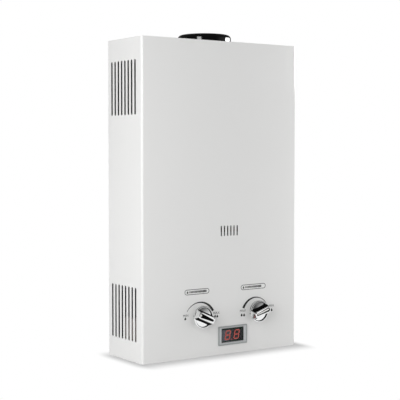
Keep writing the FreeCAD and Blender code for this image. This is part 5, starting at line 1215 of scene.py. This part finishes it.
# Soft lamps, in metres: place, the place they face, width, height, radiance (1 is the white of a page in
# plain light) and the only rays that they light. The glints face upward, past the knobs, to the flue.
LAMPS = {
    "lamp_left": ((-1.00, -0.62, 0.34), (-0.1, -0.056, 0.26), 0.6, 1.25, 4.4, "diffuse"),
    "lamp_right": ((0.42, -0.24, 0.20), (0.16, -0.10, 0.18), 0.16, 0.75, 2.1, "diffuse"),
    "glint_left": ((-1.05, -0.76, 0.70), (-0.684, -0.516, 1.598), 0.50, 0.95, 14.0, "glossy"),
    "glint_right": ((0.70, -0.14, 0.62), (0.30, -0.092, 1.54), 0.50, 0.50, 24.0, "glossy")}
FLOOR_HALF = 6.0                         # half the floor's side, in metres
# The contact shadow shows on a rectangle under the casing, its middle and half its depth given as shares
# of the casing's depth, and fades over a distance that is shorter sideways.
SHADOW_MIDDLE, SHADOW_HALF = 0.62, 0.38
SHADOW_FADE = (-0.006, 0.06)             # metres beyond the rectangle
SHADOW_SHORTER = (2.2, 1.0, 1.0)


def softbox(name, place, target, width, height, radiance, rays):
    """A soft lamp; it isn't seen itself."""
    lamp = bpy.data.lights.new(name, "AREA")
    lamp.shape = "RECTANGLE"
    lamp.size = width
    lamp.size_y = height
    lamp.energy = radiance * math.pi * width * height
    item = placed(name, lamp)
    item.location = place
    item.rotation_euler = (Vector(target) - Vector(place)).to_track_quat("-Z", "Y").to_euler()
    item.visible_camera = False
    item.visible_diffuse = rays == "diffuse"
    item.visible_glossy = rays == "glossy"


class HEATER_OT_stage(HeaterOperator, bpy.types.Operator):
    """Sets the camera, the soft lamps, the room and the pale floor"""
    bl_idname = "heater.stage"
    bl_label = "Stage"

    def execute(self, context):
        scene = context.scene
        settings = scene.heater_stage
        lens = bpy.data.cameras.new("camera")
        lens.lens = settings.camera_lens
        lens.sensor_width = 36
        lens.clip_end = 50
        camera = placed("camera", lens)
        camera.location = settings.camera_place
        yaw, pitch = settings.camera_yaw, settings.camera_pitch
        sight = Vector((math.sin(yaw) * math.cos(pitch), math.cos(yaw) * math.cos(pitch), math.sin(pitch)))
        camera.rotation_euler = sight.to_track_quat("-Z", "Y").to_euler()
        scene.camera = camera
        scene.view_settings.view_transform = "Standard"
        for name, lamp in LAMPS.items():
            softbox(name, *lamp)
        self.room(scene)
        self.floor()
        return {"FINISHED"}

    def room(self, scene):
        """White for the camera; for gloss, a wall that is bright on the right, under a dark ceiling."""
        scene.world = bpy.data.worlds.new("room")
        tree = emptied(scene.world)
        path = add(tree, "ShaderNodeLightPath", {})
        sky = add(tree, "ShaderNodeTexCoord", {})["Generated"]
        way = add(tree, "ShaderNodeSeparateXYZ", {"Vector": sky})
        wall = spread(tree, way["X"], 0.25, 0.72, 0.05, 0.7, "SMOOTHSTEP")
        dusk = spread(tree, way["Z"], 0.0, 0.30, wall, 0.12)
        soft = add(tree, "ShaderNodeMix", {0: path["Is Glossy Ray"], 2: 0.50, 3: dusk}, data_type="FLOAT")[0]
        seen = add(tree, "ShaderNodeMix", {0: path["Is Camera Ray"], 2: soft, 3: 1.0}, data_type="FLOAT")[0]
        glow = add(tree, "ShaderNodeBackground", {"Color": WHITE, "Strength": seen})[0]
        add(tree, "ShaderNodeOutputWorld", {"Surface": glow})

    def floor(self):
        """Pale floor, white away from the heater, with its soft shadow; from below it is clear."""
        mesh = bpy.data.meshes.new("floor")
        corners = ((-1, -1), (1, -1), (1, 1), (-1, 1))
        mesh.from_pydata([(x * FLOOR_HALF, y * FLOOR_HALF, 0) for x, y in corners], [], [(0, 1, 2, 3)])
        ground = placed("floor", mesh)
        material = bpy.data.materials.new("pale_floor")
        mesh.materials.append(material)
        tree = emptied(material)

        def mixed(share, first, second):
            return add(tree, "ShaderNodeMixShader", {0: share, 1: first, 2: second})[0]

        matt = add(tree, "ShaderNodeBsdfDiffuse", {"Color": rgba("#E4E4E4")})[0]
        near = add(tree, "ShaderNodeBsdfDiffuse", {"Color": rgba("#C4C4C4")})[0]
        lift = add(tree, "ShaderNodeEmission", {"Color": WHITE, "Strength": 0.07})[0]
        shade = add(tree, "ShaderNodeAddShader", {0: near, 1: lift})[0]
        white = add(tree, "ShaderNodeEmission", {"Color": WHITE, "Strength": 1.0})[0]
        low, high = CAD_BOX
        to_middle = ((low[0] + high[0]) / 2, SHADOW_MIDDLE * FOOT_DEPTH, 0.0)
        spot = vector_calc(tree, "ADD", add(tree, "ShaderNodeTexCoord", {})["Object"], to_middle)
        beyond = vector_calc(tree, "SUBTRACT", vector_calc(tree, "ABSOLUTE", spot),
                             (high[0], SHADOW_HALF * FOOT_DEPTH, 0.0))
        past = vector_calc(tree, "MAXIMUM", beyond, (0.0, 0.0, 0.0))
        away = vector_calc(tree, "LENGTH", vector_calc(tree, "MULTIPLY", past, SHADOW_SHORTER))
        seen = mixed(spread(tree, away, *SHADOW_FADE, kind="SMOOTHSTEP"), shade, white)
        path = add(tree, "ShaderNodeLightPath", {})
        direct = calc(tree, "MAXIMUM", path["Is Camera Ray"], path["Is Glossy Ray"])
        direct = calc(tree, "MAXIMUM", direct, path["Is Transmission Ray"])
        above = mixed(direct, matt, seen)
        nothing = add(tree, "ShaderNodeBsdfTransparent", {})[0]
        surface = mixed(add(tree, "ShaderNodeNewGeometry", {})["Backfacing"], above, nothing)
        add(tree, "ShaderNodeOutputMaterial", {"Surface": surface})


OPERATORS = (HEATER_OT_node_finishes, HEATER_OT_knobs, HEATER_OT_prints, HEATER_OT_display, HEATER_OT_flue,
             HEATER_OT_unions, HEATER_OT_screws, HEATER_OT_bay, HEATER_OT_stage)


class HEATER_PT_pieces(bpy.types.Panel):
    bl_idname = "HEATER_PT_pieces"
    bl_label = "Gas water heater"
    bl_space_type = "VIEW_3D"
    bl_region_type = "UI"
    bl_category = "Heater"

    def draw(self, context):
        for operator in OPERATORS:
            self.layout.operator(operator.bl_idname)


GROUPS = {"heater_finish": HeaterFinish, "heater_sizes": HeaterSizes, "heater_stage": HeaterStage}


def register():
    for group in GROUPS.values():
        bpy.utils.register_class(group)
    for name, group in GROUPS.items():
        setattr(bpy.types.Scene, name, PointerProperty(type=group))
    for item in (*OPERATORS, HEATER_PT_pieces):
        bpy.utils.register_class(item)


def unregister():
    for item in (HEATER_PT_pieces, *reversed(OPERATORS)):
        bpy.utils.unregister_class(item)
    for name in GROUPS:
        delattr(bpy.types.Scene, name)
    for group in reversed(GROUPS.values()):
        bpy.utils.unregister_class(group)


def main():
    register()
    for operator in OPERATORS:
        step = getattr(bpy.ops.heater, operator.bl_idname.split(".")[1])
        step()


if __name__ == "__main__":
    main()
